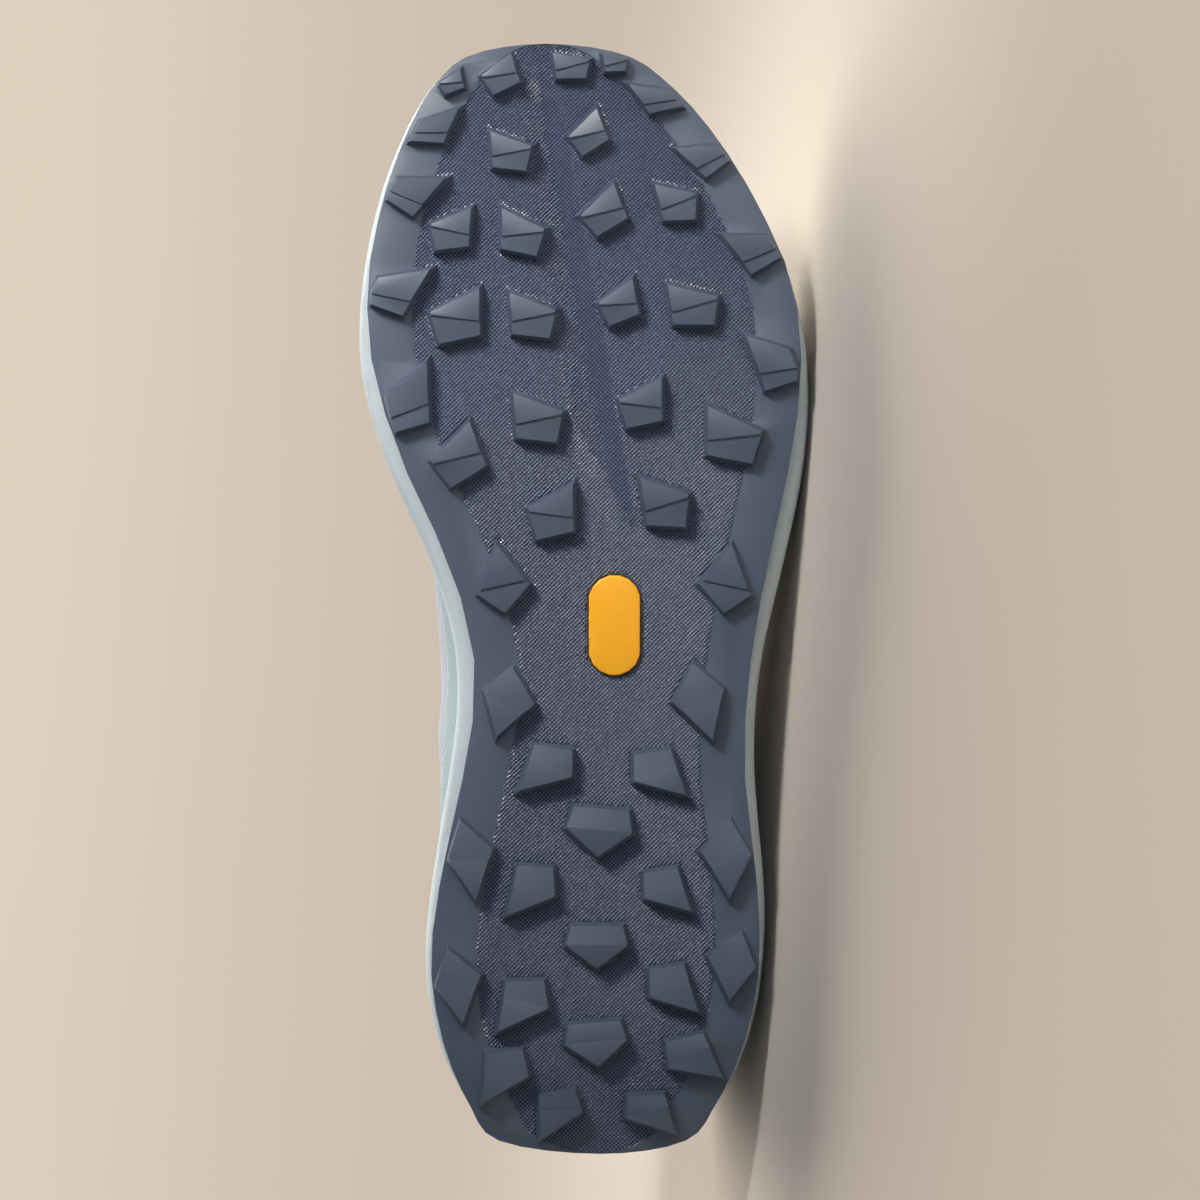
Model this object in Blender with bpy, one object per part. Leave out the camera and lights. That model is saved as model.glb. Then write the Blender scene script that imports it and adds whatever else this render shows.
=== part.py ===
"""Left trail running shoe, empty, lying on its lateral side with the sole upright.

The shoe is modelled in its own frame: x from the heel to the toe, y from the centre line towards the
little toe, z up from the floor that it would stand on. An empty then lays it on its side. Metres.
"""
import math
from collections import namedtuple

import bmesh
import bpy
from mathutils import Matrix, Vector

# Driving dimensions of the last
LENGTH = 0.298            # sole, heel end to toe end
BALL_WIDTH = 0.120        # sole across the ball of the foot, flare included
INSTEP_HEIGHT = 0.103     # floor to the top eyelets
COLLAR_HEIGHT = 0.097     # floor to the top of the heel
TOE_SPRING = 0.014
HEEL_SPRING = 0.005
TOE_BREAK = 0.60          # share of the length where the toe starts to rise
HEEL_BREAK = 0.12         # share of the length where the heel's rise ends
SPRING_CURVE = 1.8        # power of both rises

# Sole
LUG_HEIGHT = 0.004
LUG_LENGTH = 0.0125
LUG_WIDTH = 0.0120
LUG_DRAFT = 0.0013        # how far a lug's foot stands out beyond its face
LUG_STEP = 0.0006         # between the two levels of a lug's face
LUG_ROOT = 0.0012         # how far a lug runs into the plate
TOE_LIMIT = 0.995 * LENGTH    # no lug goes nearer to the toe's end
OUTSOLE_PLATE = 0.0025
RIM_WIDTH = 0.011         # smooth band round the tread
RIM_STEP = 0.0004         # tread field behind the rim's face
GROOVE_DEPTH = 0.0036
GROOVE_MEDIAL = 0.0065    # width of the groove's long slope
GROOVE_LATERAL = 0.0055   # width of its steep slope
GROOVE_END = 0.55         # share of the length where the flex groove starts, behind the ball
GROOVE_HEEL_PLACE = 0.049     # share of the width where it starts
GROOVE_TOE_PLACE = -0.142     # and where it runs out at the toe
FOAM = 0.024              # midsole under the heel of the foot
CUP_DEPTH = 0.008         # midsole lip above its bed
LIP_WIDTH = 0.0022
LIP_INSET = 0.0030        # lip behind the midsole's widest line
LIP_EDGE = 0.0008         # rounding under the lip
WAIST_INSET = 0.0012      # side's hollow under the lip
CUP_LEAN = 0.0006         # how much narrower the cup is at its bed
SIDE_STEP = 0.0009        # ledge along the midsole's side
INLAY_LENGTH = 0.027
INLAY_WIDTH = 0.014
INLAY_POCKET = 0.0012
INLAY_PROUD = 0.0014
INLAY_PLACE = (0.475, 0.043)  # shares of the length and width

# Upper and what is in it
UPPER_WALL = 0.0020
OVERLAY = 0.0008          # toe cap, rand, counter, eyestay and cuff over the knit
INSOLE = 0.004
TONGUE_WALL = 0.004
LACE_WIDTH = 0.0060
LACE_THICKNESS = 0.0018
LACE_SINK = 0.0016        # lace under the eyestay, behind the knit's face
GAP = 0.0003
SETTLE = 0.0004           # how far foam and collar flatten where they touch the floor

BALANCE = Vector((0.47 * LENGTH, 0.035))   # centre of mass from the side, along and up

CUP = LIP_INSET + LIP_WIDTH
HEM = CUP + CUP_LEAN + GAP    # from the midsole's side to the upper's lower edge
TONGUE_UNDER = UPPER_WALL + GAP + 0.0012      # tongue's face behind the knit's face

COLUMNS = 76              # points round the shoe, heel first, then lateral side, toe and medial side
STATIONS = COLUMNS // 2
TIP_DENSITY = 0.18        # draws the columns towards the heel and toe ends, where the plan turns
NUDGE = 0.02              # step in angle for slopes
STEP_RUN = 0.012          # share of a string over which an overlay's edge falls

# Half widths of the sole seen from below, as shares of BALL_WIDTH, at shares of LENGTH
Plan = namedtuple("Plan", "along tread_medial tread_lateral foam_medial foam_lateral")
PLAN = [
    Plan(0.000, 0.011, 0.011, 0.011, 0.011),
    Plan(0.012, -0.214, 0.201, -0.216, 0.203),
    Plan(0.045, -0.280, 0.268, -0.286, 0.275),
    Plan(0.100, -0.337, 0.331, -0.352, 0.342),
    Plan(0.170, -0.365, 0.365, -0.382, 0.377),
    Plan(0.250, -0.343, 0.359, -0.364, 0.378),
    Plan(0.340, -0.294, 0.333, -0.327, 0.355),
    Plan(0.430, -0.266, 0.342, -0.303, 0.364),
    Plan(0.520, -0.315, 0.379, -0.353, 0.415),
    Plan(0.610, -0.417, 0.428, -0.458, 0.465),
    Plan(0.700, -0.492, 0.459, -0.526, 0.480),
    Plan(0.780, -0.507, 0.440, -0.523, 0.445),
    Plan(0.855, -0.475, 0.361, -0.488, 0.367),
    Plan(0.920, -0.419, 0.261, -0.429, 0.265),
    Plan(0.965, -0.355, 0.160, -0.363, 0.165),
    Plan(0.990, -0.277, 0.066, -0.282, 0.070),
    Plan(1.000, -0.111, -0.111, -0.111, -0.111),
]

# Foam under the foot as a share of FOAM, and lip above it as a share of CUP_DEPTH
Stack = namedtuple("Stack", "along foam lip")
STACK = [
    Stack(0.00, 1.00, 1.30),
    Stack(0.12, 1.00, 1.10),
    Stack(0.30, 1.00, 1.00),
    Stack(0.45, 0.93, 1.05),
    Stack(0.60, 0.80, 0.90),
    Stack(0.75, 0.70, 0.80),
    Stack(0.90, 0.62, 0.90),
    Stack(1.00, 0.55, 1.15),
]

# Strings of the upper, from its foot on the sole to the topline. foot and top are shares of LENGTH; out,
# bulge and reach are shares of BALL_WIDTH; tall is the topline's height; rise and drop are shares of
# INSTEP_HEIGHT. bulge and rise set the wall over the foot, reach and drop the wall under the topline.
# rand and cuff are the shares of the string where the lower overlay ends and the upper one starts.
String = namedtuple("String", "foot top out tall bulge rise reach drop rand cuff")
LATERAL = [
    String(0.000, 0.045, 0.000, 1.00 * COLLAR_HEIGHT, 0.040, 0.26, 0.010, 0.26, 0.62, 0.84),
    String(0.090, 0.095, 0.225, 0.95 * COLLAR_HEIGHT, 0.030, 0.24, 0.020, 0.24, 0.56, 0.82),
    String(0.200, 0.190, 0.290, 0.86 * COLLAR_HEIGHT, 0.020, 0.20, 0.040, 0.18, 0.40, 0.78),
    String(0.310, 0.300, 0.270, 0.92 * COLLAR_HEIGHT, 0.010, 0.22, 0.075, 0.17, 0.30, 0.76),
    String(0.400, 0.400, 0.205, 1.00 * INSTEP_HEIGHT, 0.005, 0.24, 0.120, 0.12, 0.22, 0.76),
    String(0.500, 0.490, 0.175, 0.93 * INSTEP_HEIGHT, 0.005, 0.24, 0.150, 0.10, 0.20, 0.74),
    String(0.610, 0.580, 0.155, 0.84 * INSTEP_HEIGHT, 0.010, 0.22, 0.180, 0.09, 0.20, 0.74),
    String(0.720, 0.655, 0.125, 0.76 * INSTEP_HEIGHT, 0.020, 0.20, 0.180, 0.08, 0.24, 0.76),
    String(0.840, 0.695, 0.085, 0.72 * INSTEP_HEIGHT, 0.030, 0.19, 0.240, 0.05, 0.36, 0.80),
    String(0.940, 0.708, 0.045, 0.705 * INSTEP_HEIGHT, 0.040, 0.20, 0.320, 0.03, 0.44, 0.83),
    String(1.000, 0.712, 0.000, 0.70 * INSTEP_HEIGHT, 0.045, 0.21, 0.360, 0.02, 0.46, 0.84),
]
MEDIAL = [
    String(0.090, 0.095, 0.225, 0.95 * COLLAR_HEIGHT, 0.030, 0.24, 0.020, 0.24, 0.56, 0.82),
    String(0.200, 0.190, 0.290, 0.88 * COLLAR_HEIGHT, 0.035, 0.20, 0.040, 0.18, 0.40, 0.78),
    String(0.310, 0.300, 0.270, 0.94 * COLLAR_HEIGHT, 0.130, 0.18, 0.085, 0.17, 0.26, 0.76),
    String(0.400, 0.400, 0.205, 1.01 * INSTEP_HEIGHT, 0.190, 0.17, 0.135, 0.13, 0.20, 0.76),
    String(0.500, 0.490, 0.175, 0.94 * INSTEP_HEIGHT, 0.175, 0.17, 0.155, 0.10, 0.18, 0.74),
    String(0.610, 0.580, 0.155, 0.85 * INSTEP_HEIGHT, 0.045, 0.19, 0.180, 0.09, 0.20, 0.74),
    String(0.720, 0.655, 0.125, 0.77 * INSTEP_HEIGHT, 0.012, 0.21, 0.180, 0.08, 0.24, 0.76),
    String(0.840, 0.695, 0.085, 0.725 * INSTEP_HEIGHT, 0.020, 0.20, 0.240, 0.05, 0.36, 0.80),
    String(0.940, 0.708, 0.045, 0.705 * INSTEP_HEIGHT, 0.035, 0.20, 0.320, 0.03, 0.44, 0.83),
]

# Tongue above the top eyelets: how far it stands out there, and its width as a share of the throat's
Rise = namedtuple("Rise", "height width")
TONGUE_TOP = [Rise(0.007, 0.82), Rise(0.015, 0.76), Rise(0.022, 0.72), Rise(0.025, 0.58)]
TONGUE_ROWS = 13

# Eyelet rows: foot of the string that carries the eyelet, top row first
EYELETS = [0.415, 0.49, 0.56, 0.63, 0.70, 0.78]
UPWARD = Vector((0.2, 0, 1)).normalized()     # out of the tongue at the lace

# Outlines of the lugs' faces on a unit square, x to the toe and y to the lateral side. cut gives the
# step across the face as places on the outline (corner + share of the side after it), and front says
# whether the toe-ward level is the higher one.
Shape = namedtuple("Shape", "corners cut front")
SHAPES = {
    "chevron": Shape([(0.57, -0.45), (0.13, 0.55), (-0.43, 0.35), (-0.28, -0.45)], (1.1, 3.3), True),
    "waist": Shape([(0.58, -0.10), (0.00, 0.53), (-0.42, 0.05), (-0.16, -0.47)], (0.9, 3.1), True),
    "kite": Shape([(0.45, -0.04), (0.05, 0.53), (-0.55, -0.01), (0.05, -0.47)], (1.2, 2.9), False),
    "heel": Shape([(0.42, -0.31), (0.37, 0.41), (-0.20, 0.45), (-0.58, -0.55)], (1.9, 3.7), False),
    "centre": Shape([(0.38, -0.42), (0.38, 0.42), (-0.07, 0.50), (-0.60, 0.00), (-0.07, -0.50)], (1.9, 4.1),
                    False),
    "edge": Shape([(0.49, 0.54), (-0.51, 0.13), (-0.27, -0.46), (0.30, -0.22)], (0.7, 2.4), True),
}

# Lugs: along is a share of LENGTH, across of BALL_WIDTH, long of LUG_LENGTH, wide of LUG_WIDTH. turn is
# in degrees, and side is -1 where the outline is mirrored.
Lug = namedtuple("Lug", "shape along across long wide turn side")
LUGS = [
    Lug("chevron", 0.963, -0.320, 0.45, 0.50, 10, -1),
    Lug("chevron", 0.970, -0.210, 0.80, 0.77, 15, -1),
    Lug("chevron", 0.978, -0.054, 0.65, 0.77, -10, 1),
    Lug("chevron", 0.981, 0.044, 0.42, 0.51, -10, 1),
    Lug("edge", 0.922, -0.361, 0.65, 1.15, -10, 1),
    Lug("edge", 0.949, 0.138, 0.60, 1.15, 0, -1),
    Lug("chevron", 0.899, -0.190, 0.90, 0.87, -5, 1),
    Lug("chevron", 0.916, -0.014, 0.83, 0.80, 20, -1),
    Lug("edge", 0.863, -0.416, 0.90, 1.35, 10, 1),
    Lug("edge", 0.895, 0.252, 0.75, 1.20, 15, -1),
    Lug("chevron", 0.828, -0.320, 0.95, 0.86, -5, -1),
    Lug("chevron", 0.825, -0.165, 1.00, 0.94, 0, 1),
    Lug("chevron", 0.845, 0.021, 0.93, 0.93, 20, -1),
    Lug("chevron", 0.853, 0.183, 0.93, 0.82, -15, 1),
    Lug("edge", 0.774, -0.449, 0.97, 1.50, 0, 1),
    Lug("edge", 0.811, 0.357, 0.90, 1.22, 10, -1),
    Lug("chevron", 0.749, -0.307, 1.17, 1.09, 0, -1),
    Lug("chevron", 0.750, -0.141, 1.02, 0.98, -5, 1),
    Lug("chevron", 0.762, 0.055, 0.89, 0.83, 10, -1),
    Lug("chevron", 0.760, 0.218, 1.00, 1.05, -10, 1),
    Lug("edge", 0.674, -0.418, 1.13, 1.55, -30, 1),
    Lug("edge", 0.709, 0.401, 1.10, 1.30, -5, -1),
    Lug("chevron", 0.624, -0.302, 1.17, 1.10, 20, -1),
    Lug("chevron", 0.658, -0.129, 1.12, 1.05, -5, 1),
    Lug("chevron", 0.671, 0.105, 1.04, 0.94, 0, -1),
    Lug("chevron", 0.642, 0.305, 1.20, 1.20, 0, 1),
    Lug("chevron", 0.573, -0.094, 1.15, 0.98, 0, -1),
    Lug("chevron", 0.582, 0.156, 1.18, 0.98, -10, 1),
    Lug("waist", 0.512, -0.206, 1.42, 1.10, 0, 1),
    Lug("waist", 0.512, 0.292, 1.42, 1.10, 0, -1),
    Lug("kite", 0.408, -0.196, 1.46, 1.12, 15, 1),
    Lug("kite", 0.409, 0.235, 1.65, 1.12, 15, -1),
    Lug("heel", 0.349, -0.102, 0.99, 1.14, 5, 1),
    Lug("heel", 0.345, 0.136, 0.98, 1.11, 5, -1),
    Lug("centre", 0.294, 0.010, 1.03, 1.43, 5, 1),
    Lug("kite", 0.268, -0.281, 1.70, 1.02, -10, 1),
    Lug("kite", 0.269, 0.297, 1.63, 1.12, 0, -1),
    Lug("heel", 0.241, -0.138, 1.05, 1.05, 0, 1),
    Lug("heel", 0.240, 0.154, 0.93, 1.00, 5, -1),
    Lug("centre", 0.191, 0.004, 0.90, 1.34, 0, 1),
    Lug("kite", 0.155, -0.309, 1.59, 1.04, -10, 1),
    Lug("kite", 0.172, 0.311, 1.41, 1.14, -10, -1),
    Lug("heel", 0.139, -0.158, 1.02, 1.14, -5, 1),
    Lug("heel", 0.152, 0.168, 1.02, 1.03, 5, -1),
    Lug("centre", 0.104, 0.002, 0.93, 1.34, -5, 1),
    Lug("heel", 0.076, -0.201, 1.02, 1.10, -10, 1),
    Lug("heel", 0.090, 0.212, 0.98, 1.14, 10, -1),
    Lug("heel", 0.041, -0.080, 0.83, 1.06, -15, 1),
    Lug("heel", 0.040, 0.119, 0.83, 1.10, 0, -1),
]


def angle_of(along):
    """Angle round the shoe of a share of the length: 0 at the heel, pi at the toe."""
    return math.acos(1 - 2 * min(1, max(0, along)))


def smooth(knots, at):
    """Cubic through knots of (place, value), each knot's slope taken from its neighbours."""
    i = 1
    while i < len(knots) - 3 and knots[i + 1][0] <= at:
        i += 1
    (p0, v0), (p1, v1), (p2, v2), (p3, v3) = knots[i - 1:i + 3]
    span = p2 - p1
    s = (at - p1) / span
    m1, m2 = (v2 - v0) / (p2 - p0) * span, (v3 - v1) / (p3 - p1) * span
    return (v1 * (1 + 2 * s) * (1 - s) ** 2 + m1 * s * (1 - s) ** 2
            + v2 * s * s * (3 - 2 * s) - m2 * s * s * (1 - s))


def open_knots(pairs):
    """Knots with one more beyond each end, in line with the last two."""
    (p0, v0), (p1, v1) = pairs[:2]
    (p3, v3), (p2, v2) = pairs[-1], pairs[-2]
    return [(2 * p0 - p1, 2 * v0 - v1)] + pairs + [(2 * p3 - p2, 2 * v3 - v2)]


def closed_knots(lateral, medial):
    """Knots round the shoe from (share of length, value) pairs, heel to toe, of both sides."""
    turn = [(angle_of(a), v) for a, v in lateral]
    turn += [(2 * math.pi - angle_of(a), v) for a, v in reversed(medial)]
    whole = 2 * math.pi
    return [(p - whole, v) for p, v in turn[-2:]] + turn + [(p + whole, v) for p, v in turn[:2]]


def column_angle(k):
    turn = 2 * math.pi * k / COLUMNS
    return turn - TIP_DENSITY * math.sin(2 * turn)


ANGLES = [column_angle(k) for k in range(COLUMNS)]
FOAM_KNOTS = open_knots([(row.along, row.foam) for row in STACK])
LIP_KNOTS = open_knots([(row.along, row.lip) for row in STACK])


def plan_knots(piece):
    """Knots of the tread's or the foam's half width round the shoe, in metres."""
    sides = [[(row.along, getattr(row, f"{piece}_{side}") * BALL_WIDTH) for row in PLAN]
             for side in ("lateral", "medial")]
    return closed_knots(sides[0], sides[1][1:-1])


TREAD_KNOTS = plan_knots("tread")
SIDE_KNOTS = plan_knots("foam")


def plan_point(knots, angle):
    return Vector((LENGTH / 2 * (1 - math.cos(angle)), smooth(knots, angle % (2 * math.pi))))


def out_of_shoe(angle):
    """Level unit vector out of the midsole's side."""
    run = plan_point(SIDE_KNOTS, angle + NUDGE) - plan_point(SIDE_KNOTS, angle - NUDGE)
    return Vector((-run.y, run.x)).normalized()


TREAD = [plan_point(TREAD_KNOTS, a) for a in ANGLES]
SIDE = [plan_point(SIDE_KNOTS, a) for a in ANGLES]
OUT = [out_of_shoe(a) for a in ANGLES]


def inset(distance):
    """The midsole's outline moved inwards."""
    return [p - n * distance for p, n in zip(SIDE, OUT)]


def ground(x):
    """Height of the lugs' faces: flat under the foot, sprung at toe and heel."""
    along = x / LENGTH
    toe = max(0, (along - TOE_BREAK) / (1 - TOE_BREAK))
    heel = max(0, (HEEL_BREAK - along) / HEEL_BREAK)
    return TOE_SPRING * toe ** SPRING_CURVE + HEEL_SPRING * heel ** SPRING_CURVE


def belly(x):
    """Height of the outsole plate's lower face at its rim."""
    return ground(x) + LUG_HEIGHT


def foam_floor(x):
    return belly(x) + OUTSOLE_PLATE + GAP


def bed(x):
    """Height of the midsole's bed under the insole."""
    return foam_floor(x) + FOAM * smooth(FOAM_KNOTS, x / LENGTH)


def lip(x):
    return bed(x) + CUP_DEPTH * smooth(LIP_KNOTS, x / LENGTH)


def raised(points, height):
    """Plan points lifted to height(x)."""
    return [Vector((p.x, p.y, height(p.x))) for p in points]


def groove(x):
    """Plan place and depth of the flex groove: across, depth."""
    along = x / LENGTH
    run = max(0, along - GROOVE_END) / (1 - GROOVE_END)
    across = BALL_WIDTH * (GROOVE_HEEL_PLACE + (GROOVE_TOE_PLACE - GROOVE_HEEL_PLACE) * run)
    fade = min(1, 3 * run) * min(1, max(0, (0.985 - along) / 0.05))
    return across, GROOVE_DEPTH * fade


def tread_row(k, detail):
    """(across, lift) pairs of the outsole between its edges at station k, lateral side first."""
    lateral, medial = TREAD[k].y, TREAD[COLUMNS - k].y
    span = lateral - medial
    scale = min(1, span / (0.4 * BALL_WIDTH))
    across, depth = groove(TREAD[k].x)
    across = min(lateral - 0.45 * span, max(medial + 0.45 * span, across))
    rim = RIM_WIDTH * scale
    valley = [(across + GROOVE_LATERAL * scale, 0), (across, depth), (across - GROOVE_MEDIAL * scale, 0)]
    if not detail:
        return valley
    ledge = 3 * RIM_STEP * scale
    right = [(lateral - rim, 0), (lateral - rim - ledge, RIM_STEP)]
    left = [(medial + rim + ledge, RIM_STEP), (medial + rim, 0)]
    return right + [(y, max(lift, RIM_STEP)) for y, lift in valley] + left


def tread_rows(height, detail):
    """Rows of points between the tread's edges, on a surface that follows its groove."""
    rows = []
    for k in range(1, STATIONS):
        x = TREAD[k].x
        rows.append([Vector((x, y, height(x) + lift)) for y, lift in tread_row(k, detail)])
    return rows


def bed_rows(loop, count):
    """Rows of evenly spaced points between the two sides of a loop."""
    rows = []
    for k in range(1, STATIONS):
        a, b = loop[k], loop[COLUMNS - k]
        rows.append([a.lerp(b, (i + 1) / (count + 1)) for i in range(count)])
    return rows


def add_grid(mesh, ring, rows):
    """Closes a ring of vertices with rows of points between its two sides."""
    full = []
    for k, row in enumerate(rows, 1):
        full.append([ring[k]] + [mesh.verts.new(p) for p in row] + [ring[COLUMNS - k]])
    for one, two in zip(full, full[1:]):
        for i in range(len(one) - 1):
            mesh.faces.new((one[i], one[i + 1], two[i + 1], two[i]))
    for tip, row in ((ring[0], full[0]), (ring[STATIONS], full[-1])):
        for i in range(len(row) - 1):
            mesh.faces.new((tip, row[i], row[i + 1]))


def add_ring(mesh, points):
    return [mesh.verts.new(p) for p in points]


def bridge(mesh, one, two):
    """Quads between two closed rings of vertices."""
    for i in range(len(one)):
        j = (i + 1) % len(one)
        mesh.faces.new((one[i], one[j], two[j], two[i]))


def finish(mesh, name, smooth_angle=40):
    """Turns a bmesh into an object of the part, faces pointing out."""
    bmesh.ops.recalc_face_normals(mesh, faces=mesh.faces)
    if mesh.calc_volume(signed=True) < 0:
        bmesh.ops.reverse_faces(mesh, faces=mesh.faces)
    data = bpy.data.meshes.new(name)
    mesh.to_mesh(data)
    mesh.free()
    data.shade_smooth()
    data.set_sharp_from_angle(angle=math.radians(smooth_angle))
    piece = bpy.data.objects.new(name, data)
    parts.objects.link(piece)
    return piece


def plate(name, floor_rows, loops, roof_rows):
    """A solid of stacked loops, closed below and above by rows across them."""
    mesh = bmesh.new()
    rings = [add_ring(mesh, loop) for loop in loops]
    add_grid(mesh, rings[0], floor_rows)
    for one, two in zip(rings, rings[1:]):
        bridge(mesh, one, two)
    add_grid(mesh, rings[-1], roof_rows)
    return finish(mesh, name)


def tube(name, loops):
    """A solid swept through loops, with a flat cap at both ends."""
    mesh = bmesh.new()
    rings = [add_ring(mesh, loop) for loop in loops]
    for one, two in zip(rings, rings[1:]):
        bridge(mesh, one, two)
    mesh.faces.new(rings[0])
    mesh.faces.new(reversed(rings[-1]))
    return finish(mesh, name)


def inside(point, margin):
    """A plan point kept a margin inside the tread's outline."""
    x = min(point.x, TOE_LIMIT - margin)
    angle = angle_of(x / LENGTH)
    lateral = smooth(TREAD_KNOTS, angle) - margin
    medial = smooth(TREAD_KNOTS, 2 * math.pi - angle) + margin
    return Vector((x, min(lateral, max(medial, point.y))))


def lug_face(lug):
    """Plan outline of a lug's face, with the two ends of its step, and their places in the list."""
    turn = Matrix.Rotation(math.radians(lug.turn), 2)
    shape = SHAPES[lug.shape]
    corners = []
    for x, y in shape.corners:
        p = turn @ Vector((x * lug.long * LUG_LENGTH, y * lug.wide * LUG_WIDTH))
        corners.append(Vector((p.x + lug.along * LENGTH, p.y * lug.side + lug.across * BALL_WIDTH)))
    points, ends = [], []
    for i, corner in enumerate(corners):
        points.append(corner)
        for cut in shape.cut:
            if int(cut) == i:
                ends.append(len(points))
                points.append(corner.lerp(corners[(i + 1) % len(corners)], cut - i))
    return points, ends


def add_lug(mesh, lug):
    """A drafted block whose face has two levels, rooted in the plate."""
    face, (start, stop) = lug_face(lug)
    count = len(face)
    middle = sum(face, Vector((0, 0))) / count
    foot = []
    for i, point in enumerate(face):
        before, after = face[i - 1], face[(i + 1) % count]
        n1, n2 = (Vector((q.y, -q.x)).normalized() for q in (point - before, after - point))
        corner = (n1 + n2) / (1 + n1.dot(n2))
        if corner.dot(point - middle) < 0:
            corner = -corner
        foot.append(inside(point + corner * LUG_DRAFT, GAP))
    face = [inside(point, LUG_DRAFT) for point in face]

    def at(i, depth):
        """Corner i, depth below the plate's face."""
        share = depth / LUG_HEIGHT
        p = foot[i].lerp(face[i], share)
        return Vector((p.x, p.y, belly(p.x) - depth))

    front = sum(face[start:stop], Vector((0, 0))).x / (stop - start) > middle.x
    first_high = front == SHAPES[lug.shape].front
    levels = [LUG_HEIGHT - (0 if high else LUG_STEP) for high in (first_high, not first_high)]
    root = [mesh.verts.new(at(i, 0) + Vector((0, 0, LUG_ROOT))) for i in range(count)]
    runs = [[i % count for i in range(start, stop + 1)], [i % count for i in range(stop, start + count + 1)]]
    tops = []
    for run, level in zip(runs, levels):
        tops.append({i: mesh.verts.new(at(i, level)) for i in run})
    high, low = (0, 1) if levels[0] > levels[1] else (1, 0)
    for which, run in enumerate(runs):
        top = tops[which]
        mesh.faces.new([top[i] for i in run])
        for i, j in zip(run, run[1:]):
            wall = [root[i], root[j]]
            if which == high and j in (start, stop):
                wall.append(tops[low][j])
            wall += [top[j], top[i]]
            if which == high and i in (start, stop):
                wall.append(tops[low][i])
            mesh.faces.new(wall)
    mesh.faces.new((tops[low][start], tops[low][stop], tops[high][stop], tops[high][start]))
    mesh.faces.new(list(reversed(root)))


def make_outsole():
    """Rubber plate with a smooth rim and a flex groove, and its lugs joined on."""
    edge = raised(TREAD, belly)
    top = raised(TREAD, lambda x: belly(x) + OUTSOLE_PLATE)
    sole = plate("outsole", tread_rows(belly, True), [edge, top],
                 tread_rows(lambda x: belly(x) + OUTSOLE_PLATE, False))
    mesh = bmesh.new()
    for lug in LUGS:
        add_lug(mesh, lug)
    blocks = finish(mesh, "lugs")
    to_cutters(blocks)
    boolean(sole, blocks, "UNION")
    pocket = stadium("inlay_pocket", GAP, 2 * LUG_HEIGHT, INLAY_POCKET)
    to_cutters(pocket)
    boolean(sole, pocket, "DIFFERENCE")
    return sole


def stadium(name, grow, below, above):
    """A round-ended plate on the centre line of the waist, from below the belly to above it."""
    x, y = INLAY_PLACE[0] * LENGTH, INLAY_PLACE[1] * BALL_WIDTH
    centre = Vector((x, y, belly(x) + RIM_STEP))
    radius = INLAY_WIDTH / 2
    straight = INLAY_LENGTH / 2 - radius
    rings = []
    for height, edge in ((-below, grow), (above, grow)):
        ring = []
        for i in range(16):
            a = 2 * math.pi * (i + 0.5) / 16
            x = (radius + edge) * math.cos(a) + math.copysign(straight, math.cos(a))
            ring.append(centre + Vector((x, (radius + edge) * math.sin(a), height)))
        rings.append(ring)
    return tube(name, rings)


def make_inlay():
    """Amber plug in the waist of the outsole."""
    return stadium("inlay", 0, INLAY_PROUD, INLAY_POCKET - GAP)


def make_midsole():
    """Foam with a flared, stepped side and a cup that the upper sits in."""
    def between(share):
        return lambda x: foam_floor(x) + share * (lip(x) - foam_floor(x))

    loops = [
        raised(TREAD, foam_floor),
        raised(inset(0.4 * SIDE_STEP), between(0.10)),
        raised(SIDE, between(0.22)),
        raised(SIDE, between(0.42)),
        raised(inset(SIDE_STEP), between(0.47)),
        raised(inset(WAIST_INSET), between(0.70)),
        raised(inset(LIP_INSET - LIP_EDGE), between(0.95)),
        raised(inset(LIP_INSET), lip),
        raised(inset(CUP), lip),
        raised(inset(CUP + CUP_LEAN), bed),
    ]
    return plate("midsole", tread_rows(foam_floor, False), loops, bed_rows(loops[-1], 2))


def string_knots(column, sign=1):
    """Knots round the shoe of one column of the upper's strings."""
    lateral = [(row.foot, getattr(row, column)) for row in LATERAL]
    medial = [(row.foot, sign * getattr(row, column)) for row in MEDIAL]
    return closed_knots(lateral, medial)


STRINGS = {column: string_knots(column, -1 if column == "out" else 1) for column in String._fields[1:]}


def string(angle):
    """Corner points of the upper's string at an angle round the shoe, and its two overlay limits."""
    value = {column: smooth(knots, angle % (2 * math.pi)) for column, knots in STRINGS.items()}
    level = out_of_shoe(angle)
    foot = plan_point(SIDE_KNOTS, angle) - level * (CUP + GAP + OVERLAY)
    foot = Vector((foot.x, foot.y, lip(foot.x) + GAP))
    top = Vector((LENGTH * value["top"], BALL_WIDTH * value["out"], value["tall"]))
    top.y += middle_line(top.x)
    wall = foot + level.to_3d() * BALL_WIDTH * value["bulge"]
    wall.z += INSTEP_HEIGHT * value["rise"]
    aside = Vector((foot.x - top.x, foot.y - top.y, 0)).normalized()
    shoulder = top + aside * BALL_WIDTH * value["reach"]
    shoulder.z -= INSTEP_HEIGHT * value["drop"]
    return (foot, wall, shoulder, top), value["rand"], value["cuff"]


def middle_line(x):
    """Across place of the last's middle, which swings to the big toe."""
    return -0.05 * BALL_WIDTH * max(0, (x / LENGTH - 0.45) / 0.55)


def bezier(points, t):
    a, b, c, d = points
    s = 1 - t
    return a * s ** 3 + b * 3 * s * s * t + c * 3 * s * t * t + d * t ** 3


def upper_point(angle, t, out=0):
    """Point of the knit's face at a share t up its string, moved out of the shoe."""
    if out == 0:
        return bezier(string(angle)[0], t)
    return bezier(string(angle)[0], t) + upper_normal(angle, t) * out


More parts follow.
